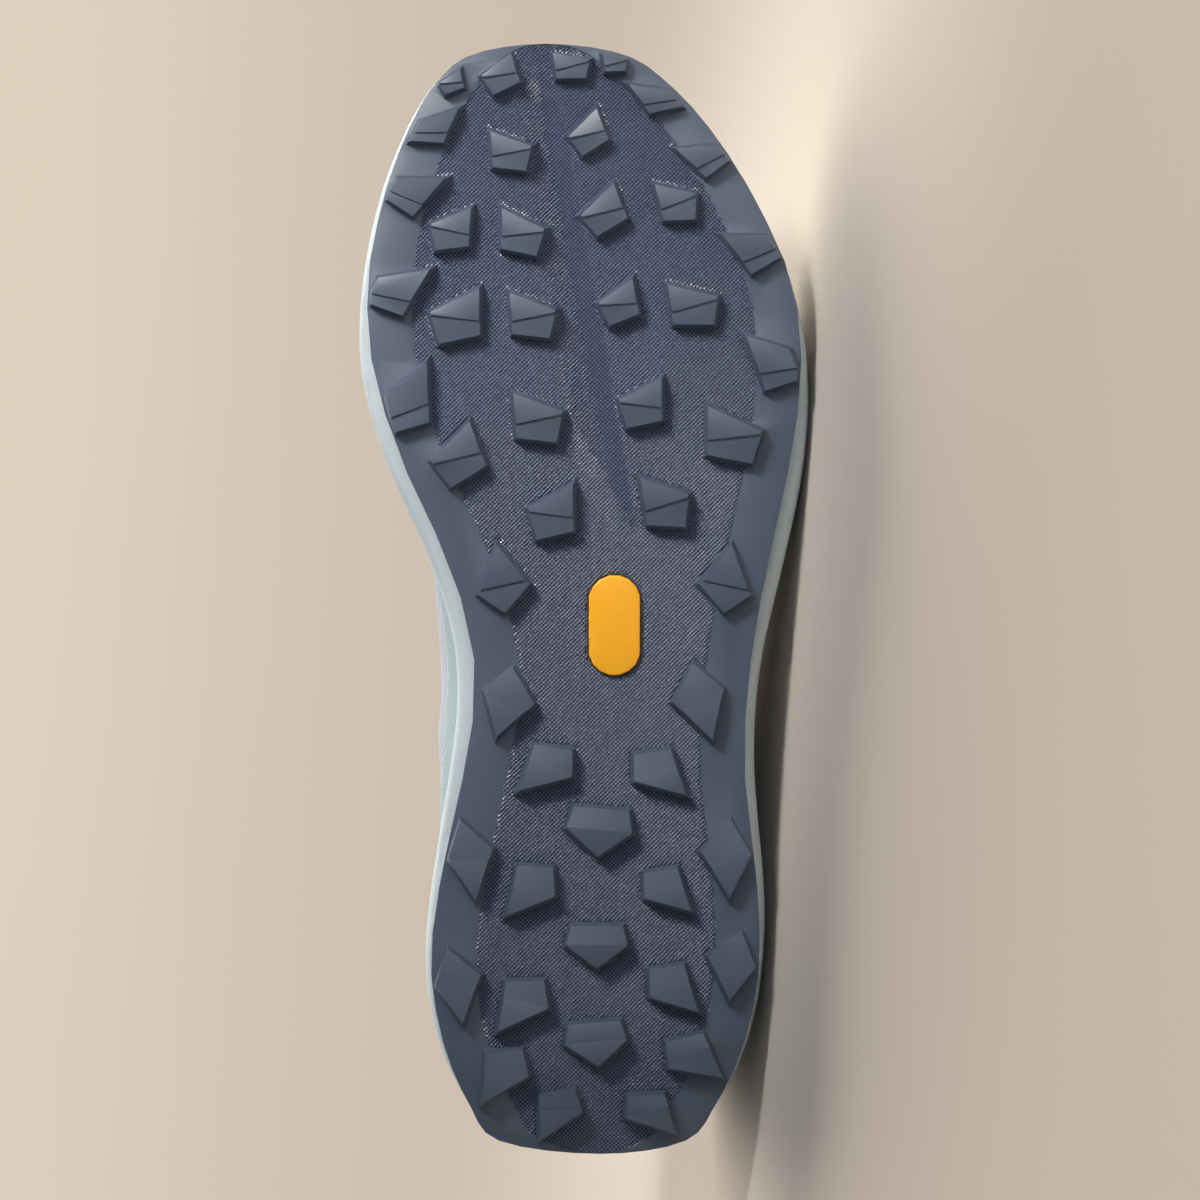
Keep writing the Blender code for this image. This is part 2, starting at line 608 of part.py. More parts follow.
def upper_normal(angle, t):
    """Direction out of the upper, level where the wall leaves the sole."""
    if t == 0:
        return out_of_shoe(angle).to_3d()
    t = min(1 - NUDGE, max(NUDGE, t))
    up = upper_point(angle, t + NUDGE) - upper_point(angle, t - NUDGE)
    along = upper_point(angle + NUDGE, t) - upper_point(angle - NUDGE, t)
    return up.cross(along).normalized()


def make_upper():
    """Knit shell with raised overlays: rand, toe cap and counter below, eyestay and cuff above."""
    def ring(level, out):
        loop = []
        for angle in ANGLES:
            rand, cuff = string(angle)[1:]
            loop.append(upper_point(angle, level(rand, cuff), out))
        return loop

    outer = [
        (lambda rand, cuff: 0, OVERLAY),
        (lambda rand, cuff: 0.5 * rand, OVERLAY),
        (lambda rand, cuff: rand, OVERLAY),
        (lambda rand, cuff: rand + STEP_RUN, 0),
        (lambda rand, cuff: rand + 0.36 * (cuff - rand), 0),
        (lambda rand, cuff: rand + 0.70 * (cuff - rand), 0),
        (lambda rand, cuff: cuff - STEP_RUN, 0),
        (lambda rand, cuff: cuff, OVERLAY),
        (lambda rand, cuff: 1, OVERLAY),
    ]
    inner = [
        (lambda rand, cuff: 1, -UPPER_WALL),
        (lambda rand, cuff: cuff, -UPPER_WALL),
        (lambda rand, cuff: (rand + cuff) / 2, -UPPER_WALL),
        (lambda rand, cuff: rand, -UPPER_WALL),
        (lambda rand, cuff: 0, -UPPER_WALL),
    ]
    low = [raised(inset(depth), lambda x: bed(x) + GAP) for depth in (HEM, HEM + UPPER_WALL)]
    loops = [low[0]] + [ring(*row) for row in outer + inner] + [low[1]]
    mesh = bmesh.new()
    rings = [add_ring(mesh, loop) for loop in loops]
    for one, two in zip(rings, rings[1:] + rings[:1]):
        bridge(mesh, one, two)
    return finish(mesh, "upper")


def throat_row(angle):
    """Points across the throat, from under one eyestay over the instep to under the other."""
    sides = []
    for a in (angle, 2 * math.pi - angle):
        shoulder, top = string(a)[0][2:]
        sides.append([upper_point(a, t) for t in (0.80, 0.90, 1)] + [(top - shoulder).normalized()])
    (l1, l2, l3, lt), (m1, m2, m3, mt) = sides
    reach = 0.36 * (l3 - m3).length
    arch = (l3, l3 + lt * reach, m3 + mt * reach, m3)
    return [l1, l2, l3] + [bezier(arch, t) for t in (0.25, 0.5, 0.75)] + [m3, m2, m1]


def sheet_normals(rows):
    """Unit normals of a sheet of rows."""
    normals = []
    for i, row in enumerate(rows):
        before, after = rows[max(0, i - 1)], rows[min(len(rows) - 1, i + 1)]
        line = []
        for j in range(len(row)):
            across = row[min(len(row) - 1, j + 1)] - row[max(0, j - 1)]
            line.append(across.cross(after[j] - before[j]).normalized())
        normals.append(line)
    return normals


def tongue_sheet():
    """Rows of the throat's face from above the top eyelets down to the vamp."""
    rows = [throat_row(angle_of(0.40 + 0.045 * i)) for i in range(TONGUE_ROWS)]
    first = rows[0]
    middle = first[4]
    lift = Vector((-0.75, 0, 0.66)).normalized()
    above = []
    for rise in TONGUE_TOP:
        row = []
        for p in first:
            q = middle + (p - middle) * rise.width + lift * rise.height
            row.append(q)
        above.insert(0, row)
    return above + rows


def make_tongue():
    """Padded tongue lying under the eyestays."""
    rows = tongue_sheet()
    normals = sheet_normals(rows)
    if normals[0][4].z < 0:
        normals = [[-n for n in line] for line in normals]
    loops = []
    for row, line in zip(rows, normals):
        face = [p - n * TONGUE_UNDER for p, n in zip(row, line)]
        back = [p - n * (TONGUE_UNDER + TONGUE_WALL) for p, n in zip(row, line)]
        loops.append(face + back[::-1])
    return tube("tongue", loops)


def lace_stops(row, side):
    """Stops of a strand out of an eyelet of the row below, over the tongue and in under the far eyestay."""
    low, high = angle_of(EYELETS[row + 1]), angle_of(EYELETS[row])
    lines = [throat_row(low + (high - low) * share)[::side] for share in (0, 0.08, 0.3, 0.5, 0.7, 0.92)]
    points = [line[j + 1] for j, line in enumerate(lines)]
    points[5] = points[4].lerp(lines[5][6], 0.55)
    near, far = (angle if side > 0 else 2 * math.pi - angle for angle in (low, 2 * math.pi - high))
    over = OVERLAY + GAP + LACE_THICKNESS / 2
    lifts = (over, over, 0.5 * over, 0.3 * over, 0.1 * over, -LACE_SINK)
    ways = [upper_normal(near, 1)] * 2 + [UPWARD] * 3 + [upper_normal(far, 1)]
    return points, lifts, ways


def bar_stops():
    """Stops of the bar that joins the lowest eyelets under the eyestays."""
    line = throat_row(angle_of(EYELETS[-1]))
    points = [line[3].lerp(line[2], 0.55), line[3], line[4], line[5], line[5].lerp(line[6], 0.55)]
    return points, [-LACE_SINK] * 5, [UPWARD] * 5


def strand(name, stops, raise_by=0):
    """A flat lace through stops of (point, lift, way out of the shoe)."""
    points, lifts, ways = stops
    path = [p + n * (lift + raise_by) for p, lift, n in zip(points, lifts, ways)]
    loops = []
    for j, (p, n) in enumerate(zip(path, ways)):
        run = (path[min(j + 1, len(path) - 1)] - path[max(j - 1, 0)]).normalized()
        out = (n - run * n.dot(run)).normalized()
        wide = run.cross(out)
        loops.append([p + wide * (LACE_WIDTH / 2 * x) + out * (LACE_THICKNESS / 2 * y)
                      for x, y in ((1, 0), (0.7, 1), (-0.7, 1), (-1, 0), (-0.7, -1), (0.7, -1))])
    return tube(name, loops)


def make_laces():
    """The bar at the lowest eyelets, and a joined crossing over the tongue for each row above it."""
    pieces = [strand("lace_bar", bar_stops())]
    for row in range(len(EYELETS) - 1):
        under = strand(f"lace_crossing_{row + 1}", lace_stops(row, 1))
        over = strand(f"over_strand_{row + 1}", lace_stops(row, -1), 0.4 * LACE_THICKNESS)
        to_cutters(over)
        boolean(under, over, "UNION")
        pieces.append(under)
    return pieces


def make_insole():
    """Foam footbed on the midsole, inside the upper's hem."""
    edge = HEM + GAP + UPPER_WALL + 0.0012
    low = raised(inset(edge), lambda x: bed(x) + GAP)
    high = raised(inset(edge), lambda x: bed(x) + GAP + INSOLE)
    return plate("insole", bed_rows(low, 1), [low, high], bed_rows(high, 1))


def boolean(piece, cutter, operation):
    modifier = piece.modifiers.new(cutter.name, "BOOLEAN")
    modifier.object = cutter
    modifier.operation = operation
    modifier.solver = "EXACT"


def to_cutters(piece):
    parts.objects.unlink(piece)
    cutters.objects.link(piece)
    piece.hide_render = True
    piece.display_type = "WIRE"


def material(piece, name, colour, roughness):
    """A Principled material from an sRGB hex colour."""
    linear = []
    for i in (0, 2, 4):
        c = int(colour[i:i + 2], 16) / 255
        linear.append(c / 12.92 if c <= 0.04045 else ((c + 0.055) / 1.055) ** 2.4)
    look = bpy.data.materials.new(name)
    look.use_nodes = True
    shader = look.node_tree.nodes["Principled BSDF"]
    shader.inputs["Base Color"].default_value = (*linear, 1)
    shader.inputs["Roughness"].default_value = roughness
    shader.inputs["Metallic"].default_value = 0
    piece.data.materials.append(look)


def solid_points(pieces):
    """Corners of the finished solids, their Booleans done."""
    graph = bpy.context.evaluated_depsgraph_get()
    return [vertex.co.copy() for piece in pieces for vertex in piece.evaluated_get(graph).data.vertices]


def lying_pose(points, carriers, balance):
    """Matrix that lays the shoe on its lateral side, on the hull's facet under the balance point."""
    hull = bmesh.new()
    for point in carriers:
        hull.verts.new(point)
    bmesh.ops.convex_hull(hull, input=hull.verts)
    for face in hull.faces:
        corners = [Vector((v.co.x, v.co.z)) for v in face.verts]
        sides = [(two - one).cross(balance - one) for one, two in zip(corners, corners[1:] + corners[:1])]
        if face.normal.y > 0.5 and (min(sides) >= 0 or max(sides) <= 0):
            down, touch = face.normal.copy(), face.verts[0].co.copy()
    hull.free()
    toe = (Vector((1, 0, 0)) - down * down.x).normalized()
    turn = Matrix((toe, toe.cross(down), -down)).to_4x4()
    turned = [turn @ point for point in points]
    middle = [(min(p[i] for p in turned) + max(p[i] for p in turned)) / 2 for i in (0, 1)]
    return Matrix.Translation((-middle[0], -middle[1], -(turn @ touch).z - SETTLE)) @ turn


def make_floor():
    """Block under the floor plane, which flattens the foam and knit that rest on it."""
    bpy.ops.mesh.primitive_cube_add(size=2 * LENGTH, location=(0, 0, -LENGTH))
    floor = bpy.context.object
    floor.name = "floor_cutter"
    for collection in list(floor.users_collection):
        collection.objects.unlink(floor)
    parts.objects.link(floor)
    to_cutters(floor)
    return floor


for old in list(bpy.data.objects):
    bpy.data.objects.remove(old, do_unlink=True)
parts = bpy.data.collections.new("trail_running_shoe")
cutters = bpy.data.collections.new("cutters")
for collection in (parts, cutters):
    bpy.context.scene.collection.children.link(collection)

outsole = make_outsole()
midsole = make_midsole()
inlay = make_inlay()
upper = make_upper()
insole = make_insole()
tongue = make_tongue()
laces = make_laces()

material(outsole, "Slate rubber", "4B5566", 0.75)
material(midsole, "Ice foam", "C3D0D3", 0.6)
material(inlay, "Amber rubber", "FDBB20", 0.45)
material(upper, "Seafoam knit", "B5C8C8", 0.85)
material(insole, "Insole textile", "5A6472", 0.9)
material(tongue, "Tongue textile", "A9B2BE", 0.9)
for lace in laces:
    material(lace, "Slate lace", "56606F", 0.85)

pieces = [outsole, midsole, inlay, upper, insole, tongue] + laces
pose = lying_pose(solid_points(pieces), solid_points([outsole, midsole, upper]), BALANCE)
stand = bpy.data.objects.new("lying_shoe", None)
stand.matrix_world = pose
parts.objects.link(stand)
for piece in pieces + list(cutters.objects):
    piece.parent = stand
floor = make_floor()
for piece in (midsole, upper):
    boolean(piece, floor, "DIFFERENCE")
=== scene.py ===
# %% [markdown]
# A trail running shoe, left foot, lying on its lateral side
#
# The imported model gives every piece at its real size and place. This script gives each of them the
# finish of its real material, and models the soft pieces again with more points: the knit upper, the
# tongue, the collar's lining and the lace. It is meant to be read from top to bottom.

import functools
import math
from collections import namedtuple

import bpy
from mathutils import Matrix, Vector


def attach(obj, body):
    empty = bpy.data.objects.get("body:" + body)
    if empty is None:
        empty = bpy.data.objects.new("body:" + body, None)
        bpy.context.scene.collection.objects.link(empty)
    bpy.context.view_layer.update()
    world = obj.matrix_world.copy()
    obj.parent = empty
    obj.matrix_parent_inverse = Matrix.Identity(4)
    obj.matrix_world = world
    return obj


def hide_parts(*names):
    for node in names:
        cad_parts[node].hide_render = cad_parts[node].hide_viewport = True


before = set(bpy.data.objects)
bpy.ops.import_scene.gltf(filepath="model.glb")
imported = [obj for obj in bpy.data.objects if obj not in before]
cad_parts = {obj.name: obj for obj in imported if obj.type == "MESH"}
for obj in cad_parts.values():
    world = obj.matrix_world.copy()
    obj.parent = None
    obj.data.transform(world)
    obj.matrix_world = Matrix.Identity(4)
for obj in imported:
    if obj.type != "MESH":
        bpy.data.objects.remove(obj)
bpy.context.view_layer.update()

# %% [markdown]
# The shoe's own frame
#
# A shoe is drawn standing: x from the heel to the toe, y towards the little toe, z up. This one lies on
# its side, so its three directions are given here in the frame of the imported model, with the place of
# the heel's end. Everything below is thought out in the standing frame and then turned with this matrix.

# %% Directions of the lying shoe
TOE_WARD = Vector((0.9975313, 0.0, 0.0702228))
LATERAL = Vector((0.0692584, -0.1651653, -0.9838312))
UPWARD = Vector((0.0115984, 0.9862659, -0.1647576))
HEEL_POINT = Vector((-0.1484172, -0.0583106, 0.0452141))

lying = Matrix((TOE_WARD, LATERAL, UPWARD)).transposed().to_4x4()
lying.translation = HEEL_POINT
standing = lying.inverted()

# %% [markdown]
# Camera
#
# The photograph looks square at the sole, with the toe at the top. The camera therefore stands off
# the middle of the sole, along the line out of its tread, and is rolled so that the toe is up. A long
# lens keeps the sole's outline as flat as in the photograph. The shoe's sole faces a little upwards, so
# the camera looks down on the floor.

# %% Camera
VIEW_ALONG = 0.1483       # middle of the picture, from the heel's end
VIEW_ACROSS = 0.0013      # and towards the little toe
VIEW_HEIGHT = 0.3196      # what the picture takes in from top to bottom
VIEW_DISTANCE = 1.7

camera_data = bpy.data.cameras.new("camera")
camera_data.sensor_width = 36
camera_data.lens = camera_data.sensor_width * VIEW_DISTANCE / VIEW_HEIGHT
camera_data.clip_end = 50
camera = bpy.data.objects.new("camera", camera_data)
bpy.context.scene.collection.objects.link(camera)
turn = Matrix((LATERAL, TOE_WARD, -UPWARD)).transposed().to_4x4()
turn.translation = lying @ Vector((VIEW_ALONG, VIEW_ACROSS, -VIEW_DISTANCE))
camera.matrix_world = turn
bpy.context.scene.camera = camera
print("camera stands", round(turn.translation.z, 3), "m over the floor, lens", round(camera_data.lens), "mm")

# %% [markdown]
# Helpers for materials
#
# A colour picked from a picture is an sRGB value, and the shader wants it linear, so one function turns
# a hex value. Another adds a node with its settings, values and links in one call and gives its output,
# so that a node tree reads from top to bottom like a sum. Two more are sums that several finishes share:
# the place on the standing shoe, and the ridges of a yarn.

# %% Colour and node helpers
def linear(colour):
    """Linear RGBA of an sRGB hex colour."""
    channels = [int(colour[i:i + 2], 16) / 255 for i in (0, 2, 4)]
    return (*[c / 12.92 if c <= 0.04045 else ((c + 0.055) / 1.055) ** 2.4 for c in channels], 1)


def feed(node, inputs):
    """Sets inputs, by number or name: each gets a value, or a link from the output that feeds it."""
    for socket, value in inputs.items():
        if isinstance(value, bpy.types.NodeSocket):
            node.id_data.links.new(value, node.inputs[socket])
        else:
            node.inputs[socket].default_value = value


def add(tree, kind, inputs=(), out=0, **settings):
    """Adds a node with its settings and gives one of its outputs. A list fills the inputs in order."""
    node = tree.nodes.new("ShaderNode" + kind)
    for name, value in settings.items():
        setattr(node, name, value)
    feed(node, inputs if isinstance(inputs, dict) else dict(enumerate(inputs)))
    return node.outputs[out]


# %% New materials
def new_material(name, **sockets):
    """A material with its Principled shader, whose constant sockets are set here."""
    material = bpy.data.materials.new(name)
    material.use_nodes = True
    shader = material.node_tree.nodes["Principled BSDF"]
    feed(shader, {socket.replace("_", " "): value for socket, value in sockets.items()})
    return material, material.node_tree, shader


def shoe_place(tree):
    """Object coordinates turned into the standing shoe's frame."""
    return add(tree, "Mapping", {"Vector": add(tree, "TexCoord", out="Object"),
                                 "Location": standing.to_translation(), "Rotation": standing.to_euler()})


def wave(tree, value, pitch):
    """A triangle wave of a length in metres: 0 in each valley, 1 on each ridge."""
    pitches = add(tree, "Math", [value, 1 / pitch], operation="MULTIPLY")
    share = add(tree, "Math", [pitches], operation="FRACT")
    swing = add(tree, "Math", [share, 2.0, -1.0], operation="MULTIPLY_ADD")
    slope = add(tree, "Math", [swing], operation="ABSOLUTE")
    return add(tree, "Math", [1.0, slope], operation="SUBTRACT")


# %% [markdown]
# Floor and light
#
# The photograph was taken on a warm beige sweep under a large soft light at the upper left. The floor is
# one wide plane. The key light stands near the toe, above the arch's side, and strikes the sole at a
# slant: each lug shows a lit and a shaded wall. A grid on its front keeps it on the forefoot, so that the
# heel lies darker. A light over the floor far behind and a low one from the back keep the floor pale, and
# leave the shoe's own soft shadow on it at the right. A weak front light opens the darkest corners.

# %% Floor
bpy.ops.object.select_all(action="DESELECT")
bpy.ops.mesh.primitive_plane_add(size=40, location=(0, 8, 0))
floor = bpy.context.object
floor.name = "studio_floor"
# Matt paint: it has no glint, so that only the light's fall and the shadow show on it.
material, tree, shader = new_material("matt_painted_floor", Roughness=0.9)
clouds = add(tree, "TexNoise", {"Vector": add(tree, "TexCoord", out="Object"), "Scale": 1 / 0.6})
paint = add(tree, "Mix", {0: clouds, 6: linear("C6BDB2"), 7: linear("CCC3B8")}, 2, data_type="RGBA")
feed(shader, {"Base Color": paint})
floor.data.materials.append(material)
print("floor:", floor.dimensions.x, "m wide")


# %% Lamps
def soft_sun(name, toward, strength, spread, colour):
    """A far light in the direction toward, whose spread in degrees softens its shadows."""
    light = bpy.data.lights.new(name, "SUN")
    light.energy, light.angle, light.color = strength, math.radians(spread), linear(colour)[:3]
    lamp = bpy.data.objects.new(name, light)
    lamp.matrix_world = toward.to_track_quat("Z", "Y").to_matrix().to_4x4()
    lamp.visible_glossy = False        # it has no sharp glint of its own on the shoe
    bpy.context.scene.collection.objects.link(lamp)


def softbox(name, place, aim, size, power, colour, spread=180):
    """A square soft light at place that looks at aim; a grid on its front narrows its spread in degrees."""
    light = bpy.data.lights.new(name, "AREA")
    light.size, light.energy, light.color = size, power, linear(colour)[:3]
    light.spread = math.radians(spread)
    lamp = bpy.data.objects.new(name, light)
    lamp.matrix_world = (place - aim).to_track_quat("Z", "Y").to_matrix().to_4x4()
    lamp.matrix_world.translation = place
    bpy.context.scene.collection.objects.link(lamp)


# %% Lights
ball = lying @ Vector((0.245, -0.06, 0))
softbox("key", ball + TOE_WARD * 0.48 - LATERAL * 0.36 - UPWARD * 0.48, ball, 0.26, 0.32, "FFFDF8", 28)
softbox("front", Vector((0.75, -1.2, 0.2)), Vector((0.05, 0, 0.05)), 0.5, 3.0, "F2F4FF")
softbox("backdrop", Vector((0.2, 2.8, 1.7)), Vector((0, 2.4, 0)), 3.0, 24, "FFF8EE")
soft_sun("back", Vector((0.25, 0.8, 0.42)), 4.9, 50, "FFF6EA")

world = bpy.data.worlds.new("studio")
world.use_nodes = True
feed(world.node_tree.nodes["Background"], {"Color": linear("E9EBF0"), "Strength": 0.25})
bpy.context.scene.world = world
bpy.context.scene.view_settings.view_transform = "Standard"
print("lights:", [light.name for light in bpy.data.lights])

# %% [markdown]
# Copies of the moulded pieces
#
# Outsole, inlay, midsole and insole are moulded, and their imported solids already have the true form. What
# a mould adds is a small radius on every edge. So each one is copied, its loose triangles are welded, and
# then its edges are rounded: the hard rubber by a bevel, the foam by a creased subdivision.

# %% Welded copies
def welded_copy(node, name, flat_angle=0.1):
    """A copy of a CAD node with its triangles welded, and flat neighbours joined."""
    bpy.ops.object.select_all(action="DESELECT")
    piece = bpy.data.objects.new(name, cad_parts[node].data.copy())
    piece.data.materials.clear()
    bpy.context.scene.collection.objects.link(piece)
    piece.select_set(True)
    bpy.context.view_layer.objects.active = piece
    bpy.ops.mesh.customdata_custom_splitnormals_clear()
    bpy.ops.object.mode_set(mode="EDIT")
    bpy.ops.mesh.select_all(action="SELECT")
    bpy.ops.mesh.remove_doubles(threshold=1e-6)
    if flat_angle:
        bpy.ops.mesh.dissolve_limited(angle_limit=math.radians(flat_angle))
    bpy.ops.object.mode_set(mode="OBJECT")
    return piece


def apply_modifiers(piece):
    """Applies a piece's modifiers in their order."""
    bpy.ops.object.select_all(action="DESELECT")
    piece.select_set(True)
    bpy.context.view_layer.objects.active = piece
    for modifier in list(piece.modifiers):
        bpy.ops.object.modifier_apply(modifier=modifier.name)


def rounded(piece, radius, angle, segments=2, slot_of_edge=-1):
    """Rounds the edges sharper than an angle. The new strips can have a material slot of their own."""
    edge = piece.modifiers.new("radius", "BEVEL")
    edge.width, edge.segments, edge.limit_method = radius, segments, "ANGLE"
    edge.material = slot_of_edge
    edge.angle_limit = math.radians(angle)
    edge.harden_normals = False
    apply_modifiers(piece)
    bpy.ops.object.shade_smooth_by_angle(angle=math.radians(angle))


# %% Seats of the finished pieces
def seat(piece, nodes):
    """The finished piece takes the place of CAD nodes and rides with the shoe."""
    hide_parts(*nodes)
    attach(piece, "root")
    low = min(vertex.co.z for vertex in piece.data.vertices)
    print(piece.name, len(piece.data.polygons), "faces, lowest", round(low * 1000, 2), "mm, of",
          [material.name for material in piece.data.materials])


# %% Outsole and inlay, welded
outsole = welded_copy("outsole", "outsole_tread")
inlay = welded_copy("inlay", "amber_inlay")
rounded(inlay, 0.0005, 40, 3)
print("outsole:", len(outsole.data.polygons), "faces before its edges are rounded")

# %% [markdown]
# Knurl of the tread field
#
# Between the lugs the mould is cut with a knurl: fine ridges along one diagonal, nicked by shallower
# grooves along the other. It sheds mud and hides wear. The real pitch is about 0.6 mm. It is drawn at
# 0.8 mm, so that each ridge still shows in the picture. The ridges are modelled: a grid is laid on the
# field by casting a ray at the outsole from below for each of its points, and every second row stands
# proud. The grid runs on under the rim and the lugs, so that its border is theirs. The nicks are a bump.

# %% Sole sizes that the knurl follows
LENGTH = 0.298
BALL_WIDTH = 0.120
LUG_HEIGHT = 0.004
RIM_STEP = 0.0004
TOE_SPRING, TOE_BREAK = 0.014, 0.60       # rise of the toe, and where it starts along the length
HEEL_SPRING, HEEL_BREAK = 0.005, 0.12
SPRING_CURVE = 1.8
KNURL_PITCH = 0.00080
KNURL_HEIGHT = 0.00026
KNURL_RUN = 0.00100                       # between two points of a ridge
KNURL_LIFT = 0.00004                      # keeps the grid clear of the plate under it
BELOW_SOLE = -0.05                        # where the rays start, clear of the lugs


def ground(x):
    """Height of the lugs' faces: flat under the foot, sprung at toe and heel."""
    along = x / LENGTH
    toe = max(0, (along - TOE_BREAK) / (1 - TOE_BREAK))
    heel = max(0, (HEEL_BREAK - along) / HEEL_BREAK)
    return TOE_SPRING * toe ** SPRING_CURVE + HEEL_SPRING * heel ** SPRING_CURVE


# %% Points of the tread field
def field_point(x, y):
    """The field's point over a place of the plan, and whether it is bare field, covered or off the sole."""
    level = ground(x) + LUG_HEIGHT + RIM_STEP
    if not (0 < x < LENGTH and abs(y) < BALL_WIDTH / 2):
        return Vector((x, y, level)), "off"
    hit, place = outsole.ray_cast(lying @ Vector((x, y, BELOW_SOLE)), UPWARD)[:2]
    if not hit:
        return Vector((x, y, level)), "off"
    height = (standing @ place).z
    if height < level - RIM_STEP / 2:
        return Vector((x, y, level)), "covered"
    return Vector((x, y, height)), "field"


# %% Knurl shape
half = (LENGTH + BALL_WIDTH) / 2
rows = 2 * int(half * math.sqrt(2) / KNURL_PITCH)
runs = int(half * math.sqrt(2) / KNURL_RUN)
bpy.ops.object.select_all(action="DESELECT")
bpy.ops.mesh.primitive_grid_add(x_subdivisions=rows, y_subdivisions=runs, size=1)
knurl = bpy.context.object
knurl.name = "tread_knurl"
peak = knurl.data.attributes.new("peak", "FLOAT", "POINT")
kinds = []
for k, vertex in enumerate(knurl.data.vertices):
    a, b = vertex.co.x, vertex.co.y
    point, kind = field_point(LENGTH / 2 + (a - b) * half, -(a + b) * half)
    crest = round((a + 0.5) * rows) % 2 if kind == "field" else 0
    point.z -= KNURL_LIFT + KNURL_HEIGHT * crest
    peak.data[k].value = crest
    vertex.co = lying @ point
    kinds.append(kind)
bpy.context.tool_settings.mesh_select_mode = (False, False, True)
for cell in knurl.data.polygons:
    found = {kinds[k] for k in cell.vertices}
    cell.select = "off" in found or "field" not in found
bpy.ops.object.mode_set(mode="EDIT")
bpy.ops.mesh.delete(type="FACE")
bpy.ops.object.mode_set(mode="OBJECT")
print("knurl:", len(knurl.data.polygons), "faces")

# %% [markdown]
# Rubber of the outsole
#
# Trail outsoles are pressed from a soft carbon-filled rubber. It is dark and has a low satin gloss, so
# that most of what the eye reads is the light on its edges. The lugs' faces and the rim are smooth. Their
# rounded edges are glossier, and paler as a painted highlight. The knurl's crests are paler too, as a
# painted highlight, and its valleys and nicks darker, as painted shade.

# %% Rubber
def rubber(name, low, high, gloss, knurled=False):
    """Dark satin rubber between two colours, with a fine grain. Knurled, it has painted shade in hollows."""
    material, tree, shader = new_material(name, IOR=1.52)
    place = shoe_place(tree)
    grain = add(tree, "TexNoise", {"Vector": place, "Scale": 1 / 0.0005, "Detail": 3})
    part = add(tree, "TexNoise", {"Vector": place, "Scale": 1 / 0.02, "Detail": 4})
    skin = add(tree, "Bump", {"Height": grain, "Distance": 0.00003, "Strength": 0.5})
    if knurled:
        axes = add(tree, "SeparateXYZ", [place]).node.outputs
        along = add(tree, "Math", [axes[0], axes[1]], operation="ADD")
        nick = add(tree, "MapRange", [wave(tree, along, KNURL_PITCH * math.sqrt(2)), 0.1, 0.7],
                   interpolation_type="SMOOTHSTEP")
        # Painted highlight: the crests are paler, and the rows between them darker as painted shade.
        crest = add(tree, "Attribute", out="Fac", attribute_name="peak")
        # Painted shade: the nicks are darker.
        darker_in_hollows = add(tree, "Math", [nick, 0.7, 0.3], operation="MULTIPLY_ADD")
        part = add(tree, "Math", [crest, darker_in_hollows], operation="MULTIPLY")
        skin = add(tree, "Bump", {"Height": nick, "Distance": 0.00016, "Strength": 0.9, "Normal": skin})
    feed(shader, {
        "Base Color": add(tree, "Mix", {0: part, 6: linear(low), 7: linear(high)}, 2, data_type="RGBA"),
        "Roughness": add(tree, "Math", [grain, 0.16, gloss], operation="MULTIPLY_ADD"),
        "Normal": skin,
    })
    return material


# %% Outsole with its knurl
outsole.data.materials.append(rubber("moulded_sticky_rubber", "434F60", "4F5B6D", 0.36))
# The rounded edges' paler colour is a painted highlight.
outsole.data.materials.append(rubber("rubber_edge_painted_highlight", "74829A", "8492AB", 0.26))
# Its dark colour is painted shade in the knurl's hollows, its pale one a painted highlight on the crests.
knurl.data.materials.append(rubber("knurled_sticky_rubber", "20283A", "6C7898", 0.22, True))
rounded(outsole, 0.00028, 28, 2, 1)
bpy.ops.object.select_all(action="DESELECT")
knurl.select_set(True)
outsole.select_set(True)
bpy.context.view_layer.objects.active = outsole
bpy.ops.object.join()
seat(outsole, ["outsole"])

# %% [markdown]
# Amber inlay
#
# A small plug of cast rubber in a lighter compound, pressed into its own pocket. It is softer and
# glossier than the sole, with a slight orange-peel skin.

# %% Inlay material
material, tree, shader = new_material("cast_amber_rubber", Roughness=0.36, IOR=1.5, Subsurface_Weight=0.08,
                                      Subsurface_Scale=0.002)
place = shoe_place(tree)
patches = add(tree, "TexNoise", {"Vector": place, "Scale": 1 / 0.006, "Detail": 3})
peel = add(tree, "TexNoise", {"Vector": place, "Scale": 1 / 0.0007, "Detail": 3})
amber = add(tree, "Mix", {0: patches, 6: linear("EFA414"), 7: linear("F8B524")}, 2, data_type="RGBA")
feed(shader, {
    "Base Color": amber,
    "Normal": add(tree, "Bump", {"Height": peel, "Distance": 0.00004, "Strength": 0.5}),
})
inlay.data.materials.append(material)
seat(inlay, ["inlay"])

# %% [markdown]
# Foam midsole
#
# The midsole is one block of moulded foam. Its skin is matt to satin, very slightly pebbled, and its
# edges are soft. A subdivision rounds the loft, and creases keep the lip and the glue line in place.

# %% Foam shape
def softened(piece, crease_angle, crease, levels):
    """Quads, creases on the sharp edges, and a subdivision that rounds the rest."""
    bpy.ops.object.select_all(action="DESELECT")
    piece.select_set(True)
    bpy.context.view_layer.objects.active = piece
    bpy.ops.object.mode_set(mode="EDIT")
    bpy.ops.mesh.select_all(action="SELECT")
    bpy.ops.mesh.tris_convert_to_quads(face_threshold=math.radians(30), shape_threshold=math.radians(60))
    bpy.ops.mesh.select_all(action="DESELECT")
    bpy.ops.mesh.select_mode(type="EDGE")
    bpy.ops.mesh.edges_select_sharp(sharpness=math.radians(crease_angle))
    bpy.ops.transform.edge_crease(value=crease)
    bpy.ops.object.mode_set(mode="OBJECT")
    soft = piece.modifiers.new("soft", "SUBSURF")
    soft.levels = soft.render_levels = levels
    apply_modifiers(piece)
    bpy.ops.object.shade_smooth()


midsole = welded_copy("midsole", "foam_midsole", 0)
softened(midsole, 50, 0.75, 2)

